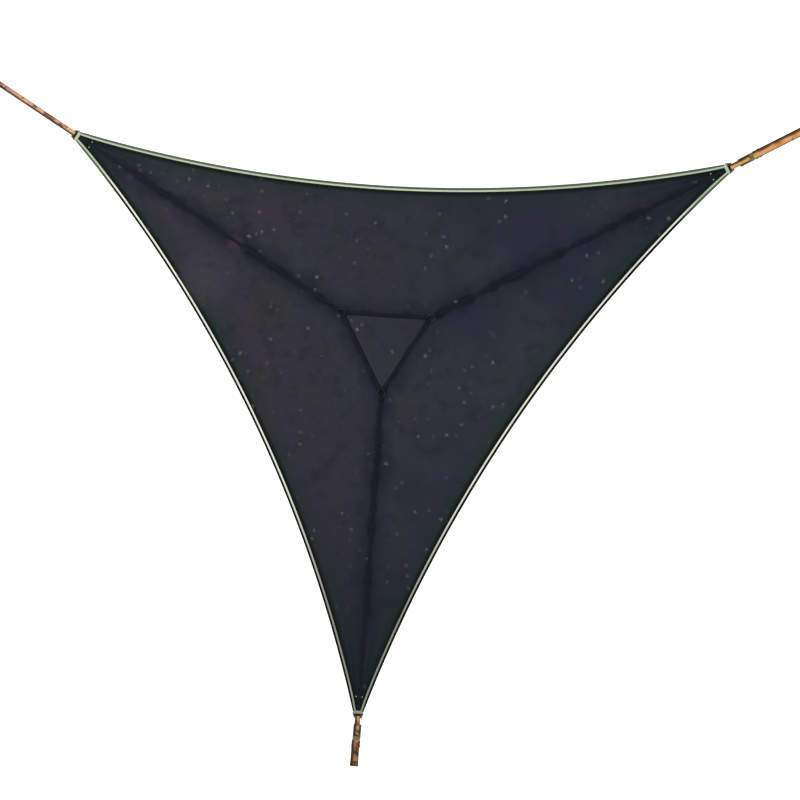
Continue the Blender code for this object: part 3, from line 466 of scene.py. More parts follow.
def woven(name, colour, worn, dusty, rib, pick, shade_and_rims=None, stains=()):
    """Woven polyester webbing: lengthwise ribs crossed by picks, worn in patches, with a low sheen.

    The strap's UV map holds its length and its width in metres. The ribs and picks are drawn about
    twice as coarse as real ones, or they wouldn't show.
    """
    webbing = Finish(name, colour, roughness=0.6, specular_ior_level=FIBRE_GLOSS)
    webbing.paint(worn, webbing.patches(0.09, limits=(0.42, 0.7)))
    webbing.paint(dusty, webbing.patches(0.025, 4.0, limits=(0.55, 0.8)))
    webbing.stain(stains)
    if shade_and_rims:
        weather_and_shade(webbing, shade_and_rims)
    strap = webbing.add("UVMap", uv_map="strap")
    threads = webbing.weave(strap, ("Y", rib), ("X", pick, 0.4))
    webbing.paint("#07070a", threads, 0.18)
    return webbing.done(threads, 0.0005)


def edge_webbing_finish():
    """Ribbed polyester webbing, painted nearly white with highlight on the sides, greener and duller along
    the rear edge and darker towards the front.
    """
    pale = Finish("pale_green_webbing", "#fdfdf0", roughness=0.6, specular_ior_level=FIBRE_GLOSS)
    strap = pale.add("UVMap", uv_map="strap")
    rearwards = pale.add("SeparateXYZ", {0: pale.place}, 1)
    across = pale.add("SeparateXYZ", {0: strap}, 1)
    # Painted light: nearly white on the sides, duller and greener along the rear edge, darker towards the
    # front tip.
    pale.paint("#c3d2b8", (rearwards, 1.25, 1.5))
    pale.paint("#969d90", (rearwards, -1.3, -2.5))
    pale.paint("#b0b2a0", pale.patches(0.35, limits=(0.55, 0.75)), 0.35)
    pale.paint("#8c9a84", pale.patches(0.07, 4.0, limits=(0.58, 0.78)), 0.4)
    pale.paint("#7d8a74", (across, 0.010, 0.005), 0.22)
    # The ribs are 1.5 mm apart and drawn 3 mm apart, or they wouldn't show.
    threads = pale.weave(strap, ("Y", 0.003), ("X", 0.0026, 0.4))
    pale.paint("#5d6b58", threads, 0.15)
    return pale.done(threads, 0.0005)


def binding_tape():
    """Polyester tape, plain woven, dark green: matt, with a fine diagonal grain and lighter folds along the
    rear edge.
    """
    tape = Finish("green_binding_tape", "#070b05", roughness=0.8, specular_ior_level=FIBRE_GLOSS / 3)
    strap = tape.add("UVMap", uv_map="strap")
    rearwards = tape.add("SeparateXYZ", {0: tape.place}, 1)
    across = tape.add("SeparateXYZ", {0: strap}, 1)
    tape.paint("#11180c", tape.patches(0.2, 5.0, limits=(0.45, 0.75)))
    # Along the rear edge the fold is lighter and the tape inside the webbing is greener.
    rear = tape.share((rearwards, 1.2, 1.5))
    tape.paint("#12291b", rear, 0.7)
    tape.paint("#5f6b55", rear, (across, 0.024, 0.016), 0.9)
    # The threads are 0.5 mm apart and drawn 2 mm apart, or they wouldn't show.
    grain = tape.weave(strap, ("DIAGONAL", 0.002), ("X", 0.0024))
    tape.paint("#050806", grain, 0.3)
    return tape.done(grain, 0.0003)


def thread(name, colour):
    """Bonded nylon thread: smooth, slightly glossy, with the shade of its twist."""
    nylon = Finish(name, colour, roughness=0.42, sheen_weight=0.1)
    nylon.paint("#1c1a18", nylon.weave(nylon.place, ("DIAGONAL", 0.0012)), 0.35)
    return nylon.done()


def plated(name, colour, stain, roughness):
    """Plated steel: a metal whose plating is clouded, stained in patches and finely scratched."""
    plate = Finish(name, colour, metallic=1.0)
    plate.paint(stain, plate.patches(0.018, 5.0, limits=(0.4, 0.72)))
    drawn_out = plate.add("Mapping", {"Vector": plate.place, "Scale": (1.0, 9.0, 1.0)})
    scratches = plate.patches(0.004, 2.0, at=drawn_out)
    least, most = roughness * (1 - SCRATCH), roughness * (1 + SCRATCH)
    inputs = {"Value": scratches, "From Min": 0.3, "From Max": 0.7, "To Min": least, "To Max": most}
    plate.tree.links.new(plate.add("MapRange", inputs), plate.shader.inputs["Roughness"])
    return plate.done(scratches, 0.00004)


def coated_steel():
    """Steel wire with a black powder coat: satin, with a fine orange-peel texture."""
    coat = Finish("black_powder_coat", "#111217", roughness=0.42, coat_weight=0.2)
    coat.paint("#2c2c30", coat.patches(0.02, 4.0, limits=(0.62, 0.8)))
    return coat.done(coat.patches(0.0012, 2.0), 0.00005)


# Each look is a material and the slot of the pieces that wear it.
MESH_CLOTH = mesh_cloth(), "mesh_cloth"
BINDING_TAPE = binding_tape(), "binding_cloth"
PALE_WEBBING = edge_webbing_finish(), "pale_webbing"
BLACK_WEBBING = woven("black_webbing", "#0b0c1b", "#101120", "#10101a", 0.0024, 0.0020), "black_webbing"
# 3f240a is painted shade on the side of each orange strap that curls from the light, and darkens its rims.
ORANGE_WEBBING = woven("orange_webbing", "#eaae66", "#f2c697", "#b5651d", 0.0026, 0.0021,
                       "#3f240a", WEBBING_STAINS), "orange_webbing"
BROWN_WEBBING = woven("brown_webbing", "#5a4223", "#6f5535", "#3c2a12", 0.0026, 0.0021), "orange_webbing"
PALE_THREAD = thread("pale_thread", "#c4cdb9"), "pale_webbing"
DARK_THREAD = thread("dark_thread", "#1d1e24"), "black_webbing"
DARK_ON_TAPE = DARK_THREAD[0], "binding_cloth"
DARK_ON_PALE = DARK_THREAD[0], "pale_webbing"
BROWN_THREAD = thread("brown_thread", "#5d3d22"), "orange_webbing"
YELLOW_ZINC = plated("yellow_zinc_plate", "#96875a", "#6c6246", 0.42)
BRIGHT_ZINC = plated("bright_zinc_plate", "#8b897e", "#6a6048", 0.38)
BRIGHT_STEEL = BRIGHT_ZINC, "bright_steel"
DULL_STEEL = plated("weathered_zinc_plate", "#39423f", "#262b2a", 0.6), "bright_steel"
BLACK_STEEL = coated_steel(), "black_steel"


# Meshes

def new_mesh(name, points, corners, sizes):
    """A mesh from its points, the corners of its faces one after another, and each face's size."""
    made = bpy.data.meshes.new(name)
    made.vertices.add(len(points))
    made.vertices.foreach_set("co", points.astype(np.float32).ravel())
    made.loops.add(len(corners))
    made.loops.foreach_set("vertex_index", corners.astype(np.int32))
    made.polygons.add(len(sizes))
    starts = np.cumsum(sizes) - sizes
    made.polygons.foreach_set("loop_start", starts.astype(np.int32))
    made.update(calc_edges=True)
    return made


def face_corners(values, capped=False):
    """The values of a grid at the corners of its quads, and at those of a cap on each end row."""
    quads = np.stack([values[:-1, :-1], values[:-1, 1:], values[1:, 1:], values[1:, :-1]], 2)
    parts = [quads.reshape(-1, *values.shape[2:])]
    if capped:
        parts += [values[0, :-1][::-1], values[-1, :-1]]
    return np.concatenate(parts)


def swept_volume(points, index):
    """Six times the volume that the quads of a grid of indices enclose, negative if inside out."""
    a, b, c, d = (points[i] for i in face_corners(index).reshape(-1, 4).T)
    return (a * (np.cross(b, c) + np.cross(c, d))).sum()


def skin(name, grid, wrap=(False, True), uv=None, layers=None):
    """A mesh over a grid of points, rows by columns.

    wrap says whether the last row joins the first, and the last column the first. Where the
    columns join and the rows don't, each end is closed by a cap. uv holds a value pair for each
    grid point, with one column more where the columns join. layers are values for each point.
    """
    rows, columns = grid.shape[:2]
    index = np.arange(rows * columns).reshape(rows, columns)
    if wrap[0]:
        index = np.vstack([index, index[:1]])
    if wrap[1]:
        index = np.hstack([index, index[:, :1]])
    capped = wrap[1] and not wrap[0]
    quads = (index.shape[0] - 1) * (index.shape[1] - 1)
    sizes = np.repeat([4, columns], [quads, 2 * capped])
    points = grid.reshape(-1, 3)
    made = new_mesh(name, points, face_corners(index, capped), sizes)
    for key, values in (layers or {}).items():
        layer = made.attributes.new(key, "FLOAT", "POINT")
        layer.data.foreach_set("value", values.astype(np.float32).ravel())
    if uv is not None:
        layer = made.uv_layers.new(name="strap" if wrap[1] else "cloth")
        layer.data.foreach_set("uv", face_corners(uv, capped).astype(np.float32).ravel())
    if wrap[1] and swept_volume(points, index) < 0:
        made.flip_normals()
    return made


def placed(name, data):
    """A new object in the scene."""
    made = bpy.data.objects.new(name, data)
    bpy.context.scene.collection.objects.link(made)
    return made


def piece(name, mesh, look, node=None, body="deck"):
    """An object at the origin that rides a body, wears the look's material and may stand for a solid."""
    material, slot = look
    mesh.materials.append(material)
    mesh.shade_smooth()
    mesh.set_sharp_from_angle(angle=SHARP_ANGLE)
    made = placed(name, mesh)
    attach(made, body)
    if node:
        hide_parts(node)
    return made


def turned_frame(angle):
    """The frame of a corner or an edge: X outwards at an angle in degrees, Z up."""
    c, s = math.cos(math.radians(angle)), math.sin(math.radians(angle))
    return np.array([[c, -s, 0, 0], [s, c, 0, 0], [0, 0, 1, 0], [0, 0, 0, 1.0]])


def shifted(matrix, x=0.0, y=0.0, z=0.0):
    """A frame moved along its own axes."""
    shift = np.eye(4)
    shift[:3, 3] = x, y, z
    return matrix @ shift


def pull_frame(corner):
    """The frame at a tip whose X is the line of pull."""
    c, s = math.cos(TIP_SLOPE), math.sin(TIP_SLOPE)
    tilt = np.array([[c, 0, -s, 0], [0, 1, 0, 0], [s, 0, c, 0], [0, 0, 0, 1.0]])
    return shifted(turned_frame(CORNER_ANGLES[corner]), TIP_RADIUS, 0.0, TIP_RISE - CLOTH / 2) @ tilt


def spool_frame(corner):
    """The frame on the spool's axis, with X along the line of pull."""
    return shifted(pull_frame(corner), SPOOL_X, 0.0, -BOLT_Z)


def moved(points, matrix):
    """The points, whose last axis is X, Y and Z, taken from a frame into the world."""
    return points @ matrix[:3, :3].T + matrix[:3, 3]


def unit(vectors):
    """The vectors, whose last axis is their coordinates, at a length of 1."""
    return vectors / np.linalg.norm(vectors, axis=-1, keepdims=True)


def full_turn(count):
    """Angles spaced evenly round a circle."""
    return np.linspace(0, 2 * math.pi, count, endpoint=False)


def arc(centre, radius, start, end):
    """Points on a circle in a plane, from one angle in degrees to another."""
    angles = np.radians(np.linspace(start, end, ARC_POINTS))
    return np.stack([np.cos(angles), np.sin(angles)], 1) * radius + centre


def joined(*parts):
    """Points and runs of points as one path."""
    return np.concatenate([np.atleast_2d(np.asarray(p, float)) for p in parts])


def run_lengths(line):
    """The length along a line from its start to each point."""
    return np.concatenate([[0], np.cumsum(np.linalg.norm(np.diff(line, axis=0), axis=1))])


def flowing(path, step):
    """A smooth curve through the points of a path, with a point about every step.

    Each coordinate is a cubic between two points whose slope at a point is the harmonic mean of
    the slopes beside it, so that the curve never swings past a point. The parameter is the length
    along the path.
    """
    lengths = np.linalg.norm(np.diff(path, axis=0), axis=1)
    at = run_lengths(path)
    slopes = np.diff(path, axis=0) / lengths[:, None]
    before, after = slopes[:-1], slopes[1:]
    w1 = (2 * lengths[1:] + lengths[:-1])[:, None]
    w2 = (lengths[1:] + 2 * lengths[:-1])[:, None]
    with np.errstate(divide="ignore", invalid="ignore"):
        middle = np.where(before * after > 0, (w1 + w2) / (w1 / before + w2 / after), 0)
    tangents = np.concatenate([slopes[:1], middle, slopes[-1:]])
    counts = np.maximum(np.round(lengths / step).astype(int), 1)
    spans = zip(at[:-1], at[1:], counts)
    t = np.concatenate([np.linspace(a, b, n, endpoint=False) for a, b, n in spans] + [at[-1:]])
    i = np.clip(np.searchsorted(at, t, side="right") - 1, 0, len(lengths) - 1)
    h = lengths[i][:, None]
    s = ((t - at[i]) / lengths[i])[:, None]
    p0, p1, m0, m1 = path[i], path[i + 1], tangents[i], tangents[i + 1]
    return ((1 + 2 * s) * (1 - s) ** 2 * p0 + s * (1 - s) ** 2 * h * m0
            + s ** 2 * (3 - 2 * s) * p1 + s ** 2 * (s - 1) * h * m1)


def flat_section(width, thickness):
    """Across and up for a strap's section: a superellipse, flat with rounded edges.

    Cosine and sine of the angle, each raised to a small power with its sign kept.
    """
    angle = full_turn(SECTION_POINTS) + math.pi / SECTION_POINTS
    c, s = np.cos(angle), np.sin(angle)
    return width / 2 * np.sign(c) * np.abs(c) ** 0.55, thickness / 2 * np.sign(s) * np.abs(s) ** 0.3


def strap_uv(line, across):
    """A strap's UV map: the length along its line, and the width across, closed round its section."""
    across = np.concatenate([across, across[..., :1]], -1)
    return np.stack(np.broadcast_arrays(run_lengths(line)[:, None], across), -1)


def strap_piece(name, path, size, step, matrix, look, node=None, body="deck", shaded_side=1):
    """A strap's section carried along a path in X and Z, with its width along Y.

    size is its width and thickness. The share across the width, which a finish may use, is 1 at
    the side that is painted with shade, towards +Y or -Y.
    """
    line = flowing(np.asarray(path, float), step)
    ahead = unit(np.gradient(line, axis=0))
    normal = np.stack([-ahead[:, 1], ahead[:, 0]], 1)
    across, up = flat_section(*size)
    flat = line[:, None] + normal[:, None] * up[:, None]
    width = size[0]
    sideways = np.broadcast_to(across, flat.shape[:2])
    grid = np.stack([flat[..., 0], sideways, flat[..., 1]], -1)
    layers = {"across": 0.5 + shaded_side * sideways / width}
    mesh = skin(name, moved(grid, matrix), uv=strap_uv(line, across + width / 2), layers=layers)
    piece(name, mesh, look, node, body)


def tube_mesh(name, line, radius, sides, closed=False, frame_up=UP):
    """A round wire along a line. radius may be a value for each point of the line."""
    ahead = np.gradient(line, axis=0)
    if closed:
        ahead = np.roll(line, -1, axis=0) - np.roll(line, 1, axis=0)
    ahead = unit(ahead)
    side = unit(np.cross(ahead, frame_up))
    over = np.cross(side, ahead)
    turn = full_turn(sides)[:, None]
    reach = np.broadcast_to(radius, len(line))[:, None, None]
    grid = line[:, None] + reach * (side[:, None] * np.cos(turn) + over[:, None] * np.sin(turn))
    return skin(name, grid, wrap=(closed, True))


def spaced_along(line, pitch):
    """Points spaced evenly along a line, and the line's direction at each."""
    lengths = run_lengths(line)
    count = max(int(lengths[-1] / pitch), 2)
    at = (np.arange(count) + 0.5) * lengths[-1] / count
    points, further, nearer = (np.stack([np.interp(t, lengths, line[:, k]) for k in range(3)], 1)
                               for t in (at, at + pitch / 4, at - pitch / 4))
    return points, unit(further - nearer)


def stitching(name, lines, matrix, look):
    """Rows of stitches: each is a long eight-sided bead that lies on its line."""
    rows = [spaced_along(moved(np.asarray(line, float), matrix), STITCH_PITCH) for line in lines]
    middles, aheads = (np.concatenate(parts) for parts in zip(*rows))
    side = unit(np.cross(aheads, UP))
    over = np.cross(side, aheads)
    offsets = [aheads * STITCH / 2, side * STITCH_HALF, over * STITCH_HALF * STITCH_FLATNESS]
    points = np.stack([middles + sign * offset for offset in offsets for sign in (1, -1)], 1)
    bead = np.array([[4, 2, 0], [4, 1, 2], [4, 3, 1], [4, 0, 3], [5, 0, 2], [5, 2, 1], [5, 1, 3], [5, 3, 0]])
    faces = (np.arange(len(middles))[:, None, None] * 6 + bead).reshape(-1, 3)
    mesh = new_mesh(name, points.reshape(-1, 3), faces.ravel(), np.full(len(faces), 3))
    piece(name, mesh, look)


def box_cross(x0, x1, half, z):
    """The lines of a box stitched round a cross, in X and Y at a height z."""
    a, b, c, d = (x0, -half, z), (x1, -half, z), (x1, half, z), (x0, half, z)
    return [(a, b), (b, c), (c, d), (d, a), (a, c), (b, d)]


def finished(thing):
    """Applies the object's modifiers to its mesh."""
    graph = bpy.context.evaluated_depsgraph_get()
    thing.data = bpy.data.meshes.new_from_object(thing.evaluated_get(graph))
    thing.modifiers.clear()


# The deck's surface, given for the rear edge. u runs along the edge from the left corner to the
# right one, and a distance runs in from the edge to the seams.

LEFT_OUT = turned_frame(CORNER_ANGLES["left"])[:2, 0]
LEFT_ACROSS = np.array([LEFT_OUT[1], -LEFT_OUT[0]])


def seam_height(radius):
    """The middle of the cloth on a seam, at a distance from the centre. It steepens to the tip."""
    share = np.maximum((radius - CENTRE_RADIUS) / SEAM_LENGTH, 0.0)
    return TIP_RISE * ((1 - SEAM_CURVE) * share + SEAM_CURVE * share ** 2) - CLOTH / 2


def edge_point(u):
    """The cloth's edge: a parabola in plan, which also dips to its middle."""
    tip = LEFT_OUT * TIP_RADIUS + LEFT_ACROSS * TIP_HALF_WIDTH
    bow = 4 * u * (1 - u)
    return np.stack([tip[0] * (1 - 2 * u), tip[1] - SCALLOP * bow, TIP_RISE - EDGE_DIP * bow - CLOTH / 2], -1)


def seam_point(u):
    """The panel's inner side: a seam, one side of the centre panel, and the other seam."""
    mirror = np.where(u <= 0.5, 1.0, -1.0)
    u = np.minimum(u, 1 - u)
    radius = TIP_RADIUS - SEAM_LENGTH * u / SEAM_SHARE
    seam = radius[:, None] * LEFT_OUT + LEFT_ACROSS * SEAM_GAP / 2
    along = np.clip((u - SEAM_SHARE) / (0.5 - SEAM_SHARE), 0, 1)
    inner_x = -CENTRE_SIDE / 2 * (1 - along)
    on_seam = u < SEAM_SHARE
    x = np.where(on_seam, seam[:, 0], inner_x)
    y = np.where(on_seam, seam[:, 1], CENTRE_RADIUS / 2 + SEAM_GAP / 2)
    z = np.where(on_seam, seam_height(radius), seam_height(0.0))
    return np.stack([x * mirror, y, z], -1)


def level_way(u):
    """The length in plan from the edge to the seam, and the level way along it."""
    across = (seam_point(u) - edge_point(u)) * (1, 1, 0)
    return np.linalg.norm(across, axis=1), unit(across)


def binding_reach(u):
    """How far in the binding lies, which is less at a tip."""
    return np.minimum(BINDING_WIDTH, level_way(u)[0] - TIP_FREE_WIDTH)


def beside_edge(u, inwards, heights):
    """Points beside the edge at each u, by distances inwards, one row for each u, and heights."""
    start, way = edge_point(u)[:, None], level_way(u)[1][:, None]
    return start + way * inwards[..., None] + UP * heights[..., None]


def deck_grid():
    """The deck's middle surface with its folds, and each point's distances from edge and seam.

    Across a panel, the cloth is level under the binding and beside the seam, and hangs in a
    parabola between. Folds fan out of each tip as a sine across the panel, which rises and dies
    away with the distance from the tip, and small puckers die away in from the binding. Two sines
    in plan leave the open cloth a little slack. The columns lie closer together near the tips.
    """
    bow = np.cos(math.pi * np.linspace(0, 1, U_STEPS + 1))
    u = 0.5 - 0.5 * bow * (0.55 + 0.45 * np.abs(bow))
    along = SIDE * u[:, None]
    length, inward = (part[:, None] for part in level_way(u))
    reach = binding_reach(u)[:, None]
    edge, seam = edge_point(u)[:, None], seam_point(u)[:, None]
    open_length = length - reach - SEAM_FLAT
    distance = np.concatenate([
        reach * np.array([0, 0.5]),
        reach + open_length * np.linspace(0, 1, OPEN_ROWS + 1),
        length - SEAM_FLAT * np.array([0.5, 0.0])], axis=1)
    t = np.clip((distance - reach) / open_length, 0, 1)
    held = 4 * t * (1 - t)
    flat = edge[..., :2] + inward[..., :2] * distance[..., None]
    height = edge[..., 2] * (1 - t) + seam[..., 2] * t - BILLOW * held * np.sin(math.pi * u)[:, None]
    from_tip = SIDE * np.minimum(u, 1 - u)[:, None]
    fan = from_tip / FOLD_REACH * np.exp(1 - from_tip / FOLD_REACH)
    waves = np.sin(2 * math.pi * (FOLD_COUNT * t ** 0.8 + 0.35 * np.sin(1.7 * from_tip)))
    height += FOLD_HEIGHT * fan * waves * held
    pucker = np.sin(2 * math.pi * along / PUCKER_LENGTH + 2.2 * np.sin(3.1 * along))
    dying = np.exp(-(distance - reach) / PUCKER_REACH) * np.minimum(held * 8, 1)
    height += PUCKER_HEIGHT * pucker * dying
    slack = np.sin(1.9 * flat[..., 0] + 0.7) * np.sin(5.3 * flat[..., 1] + 1.1 * flat[..., 0])
    height += SLACK_HEIGHT * slack * held
    return np.concatenate([flat, height[..., None]], -1), distance, length - distance


# Cloth and eyelets

def cloth_piece(name, mesh, node):
    """A panel of mesh cloth with its thickness, half above its middle surface and half below."""
    made = piece(name, mesh, MESH_CLOTH, node)
    wall = made.modifiers.new("wall", "SOLIDIFY")
    wall.thickness = CLOTH
    wall.offset = 0
    finished(made)
    return made


def eyelet_place(name):
    """The middle of an eyelet's solid and the upward normal of its flange."""
    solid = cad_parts[name].data
    points = np.empty(len(solid.vertices) * 3, np.float32)
    solid.vertices.foreach_get("co", points)
    points = points.reshape(-1, 3).astype(float)
    middle = points.mean(0)
    normal = np.linalg.svd(points - middle)[2][2]
    return middle, normal * np.sign(normal[2])


def punch(cloth, eyelets):
    """Cuts a round hole through the cloth at each eyelet, with an upright cylinder."""
    turn = full_turn(PUNCH_SIDES)
    circle = EYELET_HOLE * np.stack([np.cos(turn), np.sin(turn), np.zeros_like(turn)], 1)
    cutters = []
    for name in eyelets:
        middle = eyelet_place(name)[0]
        grid = np.stack([middle + circle - UP * PUNCH_HALF, middle + circle + UP * PUNCH_HALF])
        cutters.append(placed("punch", skin("punch", grid)))
        hole = cloth.modifiers.new("hole", "BOOLEAN")
        hole.operation = "DIFFERENCE"
        hole.object = cutters[-1]
    finished(cloth)
    for cutter in cutters:
        bpy.data.objects.remove(cutter)


def cloth_panel(edge, grid, from_edge, from_seam):
    """One panel of mesh cloth, given its thickness and punched for its eyelets."""
    layers = {"from_edge": from_edge, "from_seam": from_seam}
    points = moved(grid, turned_frame(EDGE_ANGLES[edge]))
    mesh = skin(f"cloth_{edge}", points, wrap=(False, False), uv=grid[..., :2], layers=layers)
    made = cloth_piece(f"cloth_{edge}", mesh, f"panel_{edge}")
    punch(made, EDGE_EYELETS[edge])


def centre_cloth():
    """The flat centre panel: a grid that narrows to the corner at its front."""
    left, right, front = ((CENTRE_RADIUS - SEAM_GAP) * turned_frame(CORNER_ANGLES[corner])[:3, 0]
                          for corner in ("left", "right", "front"))
    share = np.linspace(0, 1, CENTRE_ROWS)
    s, t = share[:, None, None], share[None, :, None]
    rear = left * (1 - s) + right * s
    grid = rear * (1 - t) + (front * (1 - CENTRE_TIP) + rear * CENTRE_TIP) * t
    grid[..., 2] = -CLOTH / 2
    far = np.full(grid.shape[:2], 0.3)
    layers = {"from_edge": far, "from_seam": far}
    mesh = skin("cloth_centre", grid, wrap=(False, False), uv=grid[..., :2], layers=layers)
    made = cloth_piece("cloth_centre", mesh, "panel_centre")


def eyelet_piece(name):
    """A rolled eyelet: a barrel whose two rims roll out and down to the cloth."""
    middle, normal = eyelet_place(name)
    roll = np.radians(np.linspace(180, 0, BEND_POINTS))
    rolled = (EYELET_FLANGE - EYELET_BORE) / 2
    upper = np.stack([EYELET_BORE + rolled * (1 + np.cos(roll)), EYELET_LIP + EYELET_ROLL * np.sin(roll)], 1)
    profile = joined(
        (EYELET_BORE, EYELET_LIP), upper, (EYELET_BARREL, EYELET_WAIST),
        (EYELET_BARREL, -EYELET_WAIST), upper[::-1] * (1, -1), (EYELET_BORE, -EYELET_LIP))
    turn = full_turn(EYELET_SIDES)[:, None]
    side = unit(np.cross(normal, (1.0, 0, 0)))
    radial = np.cos(turn) * side + np.sin(turn) * np.cross(normal, side)
    grid = middle + radial[:, None] * profile[:, :1] + normal * profile[:, 1:]
    mesh = skin(name, grid, wrap=(True, True))
    piece(name.replace("eyelet", "grommet"), mesh, DULL_STEEL, name)


# Edge finish

def binding_piece(edge):
    """Tape folded over the cloth's edge: two flat legs joined by a half circle, inside and out.

    Each row of the section is a share of the reach, an offset inwards and a height.
    """
    u = np.linspace(0, 1, EDGE_POINTS)
    legs = np.linspace(1, BINDING_LEG_END, BINDING_LEG_POINTS)
    turn = np.radians(np.linspace(270, 90, BEND_POINTS))
    rows = []
    for radius, way in ((BINDING_TOP, 1), (CLOTH / 2 + BINDING_EASE, -1)):
        rows += [(share, 0.0, -radius * way) for share in legs]
        rows += [(0.0, BINDING_BEND + radius * np.cos(a), radius * np.sin(a)) for a in turn[::way]]
        rows += [(share, 0.0, radius * way) for share in legs[::-1]]
    shares, offsets, heights = np.array(rows).T
    inwards = binding_reach(u)[:, None] * shares + offsets
    grid = moved(beside_edge(u, inwards, heights), turned_frame(EDGE_ANGLES[edge]))
    mesh = skin(f"binding_{edge}", grid, uv=strap_uv(edge_point(u), inwards))
    piece(f"binding_{edge}", mesh, BINDING_TAPE, f"edge_binding_{edge}")


def webbing_setback(u):
    """From the binding's fold to the webbing, which dies away to a smaller value at a tip."""
    near_tip = np.exp(-SIDE * np.minimum(u, 1 - u) / TIP_SETBACK_LENGTH)
    return EDGE_WEBBING_SETBACK * (1 - (1 - TIP_SETBACK_SHARE) * near_tip)


def edge_webbing_piece(edge):
    """The pale webbing on the binding: a strap's section carried along the edge."""
    u = np.linspace(0, 1, EDGE_POINTS)
    across, up = flat_section(EDGE_WEBBING_WIDTH, EDGE_WEBBING)
    across = across + EDGE_WEBBING_WIDTH / 2
    heights = EDGE_WEBBING_LOW + EDGE_WEBBING / 2 + up
    grid = beside_edge(u, webbing_setback(u)[:, None] + across, heights)
    grid = moved(grid, turned_frame(EDGE_ANGLES[edge]))
    mesh = skin(f"edge_band_{edge}", grid, uv=strap_uv(edge_point(u), across))
    piece(f"edge_band_{edge}", mesh, PALE_WEBBING, f"edge_webbing_{edge}")


def edge_stitching(edge):
    """Two rows along the webbing, and one along the binding's inner edge on either face."""
    u = np.linspace(0, 1, STITCHED_POINTS)[STITCHES_START:-STITCHES_START]
    matrix = turned_frame(EDGE_ANGLES[edge])
    rows = webbing_setback(u)[:, None] + np.array([ROW_INSET, EDGE_WEBBING_WIDTH - ROW_INSET])
    top = EDGE_WEBBING_LOW + EDGE_WEBBING - THREAD_LIFT
    lines = np.moveaxis(beside_edge(u, rows, np.full(2, top)), 1, 0)
    stitching(f"edge_stitches_{edge}", lines, matrix, PALE_THREAD)
    rows = np.repeat(binding_reach(u)[:, None] - ROW_INSET, 2, axis=1)
    lines = np.moveaxis(beside_edge(u, rows, np.array([BINDING_TOP, -BINDING_TOP])), 1, 0)
    stitching(f"binding_stitches_{edge}", lines, matrix, DARK_ON_TAPE)


# Deck straps and rings

def ring_fold(wire, way, lands, tail_lands, lie):
    """A strap that comes up to an inner ring, folds round it and is sewn back on itself.

    way is 1 where the strap lies on the +X side of the wire. It leaves and meets the cloth at two
    lengths from the wire, and lie gives its height there.
    """
    layer = STRAP + 2 * LAID_GAP
    lands, tail_lands, tail_end = (wire + way * x for x in (lands, tail_lands, SEWN_TAIL))
    return joined(
        (lands, lie(lands)),
        (wire + way * FOLD_UNDER, INNER_RING_HEIGHT - FOLD_RADIUS),
        arc((wire - way * FOLD_SLACK, INNER_RING_HEIGHT), FOLD_RADIUS, 270, 270 - 180 * way),
        (wire + way * FOLD_OVER, INNER_RING_HEIGHT + FOLD_RADIUS),
        (tail_lands, lie(tail_lands) + layer),
        (tail_end, lie(tail_end) + layer))


def seam_lie(radius):
    """The middle of a seam strap, at a distance from the centre."""
    return seam_height(radius) + CLOTH / 2 + STRAP_LIFT


def seam_strap_path():
    """The path of a seam strap in X and Z, from its corner loop to a fold round the inner ring."""
    radii = np.linspace(TIP_RADIUS - SEAM_STRAP_SETBACK, SEAM_WIRE + SEWN_TAIL, SEAM_POINTS)
    fold = ring_fold(SEAM_WIRE, 1, SEAM_STRAP_LANDS, SEAM_TAIL_LANDS, seam_lie)
    return joined(np.stack([radii, seam_lie(radii)], 1), fold)


def inner_strap_path():
    """The path of an inner strap in X and Z, folded round both rings and sewn back on itself."""
    right = ring_fold(SIDE_WIRE, -1, INNER_STRAP_LANDS, INNER_TAIL_LANDS, lambda x: INNER_STRAP_LIFT)
    return joined(right[::-1] * (-1, 1), right)


def seam_strap(corner):
    """The strap on a seam, with two long rows of stitches and a box and cross on its tail."""
    matrix = turned_frame(CORNER_ANGLES[corner])
    strap_piece(f"seam_webbing_{corner}", seam_strap_path(), (STRAP_WIDTH, STRAP), SEAM_STEP, matrix,
                BLACK_WEBBING, f"seam_strap_{corner}")
    radii = np.linspace(TIP_RADIUS - SEAM_ROWS_START, SEAM_WIRE + SEAM_ROWS_END, SEAM_ROW_POINTS)
    top = seam_lie(radii) + STRAP / 2 + THREAD_LIFT
    lines = [np.stack([radii, np.full_like(radii, side * SEWN_HALF), top], 1) for side in (1, -1)]
    start, end = SEAM_WIRE + SEAM_BOX[0], SEAM_WIRE + SEAM_BOX[1]
    height = float(seam_lie((start + end) / 2)) + 1.5 * STRAP + SEAM_BOX_LIFT
    lines += box_cross(start, end, SEWN_HALF, height)
    stitching(f"seam_stitches_{corner}", lines, matrix, DARK_THREAD)


def inner_strap(edge):
    """The strap between two inner rings, with a box and cross on both tails."""
    matrix = shifted(turned_frame(EDGE_ANGLES[edge]), y=INNER_RADIUS / 2)
    strap_piece(f"inner_webbing_{edge}", inner_strap_path(), (STRAP_WIDTH, STRAP), INNER_STEP, matrix,
                BLACK_WEBBING, f"inner_strap_{edge}")
    top = INNER_STRAP_LIFT + 1.5 * STRAP + 2 * LAID_GAP + 2 * THREAD_LIFT
    start, end = SIDE_WIRE - INNER_BOX[0], SIDE_WIRE - INNER_BOX[1]
    lines = box_cross(start, end, SEWN_HALF, top) + box_cross(-start, -end, SEWN_HALF, top)
    stitching(f"inner_stitches_{edge}", lines, matrix, DARK_THREAD)


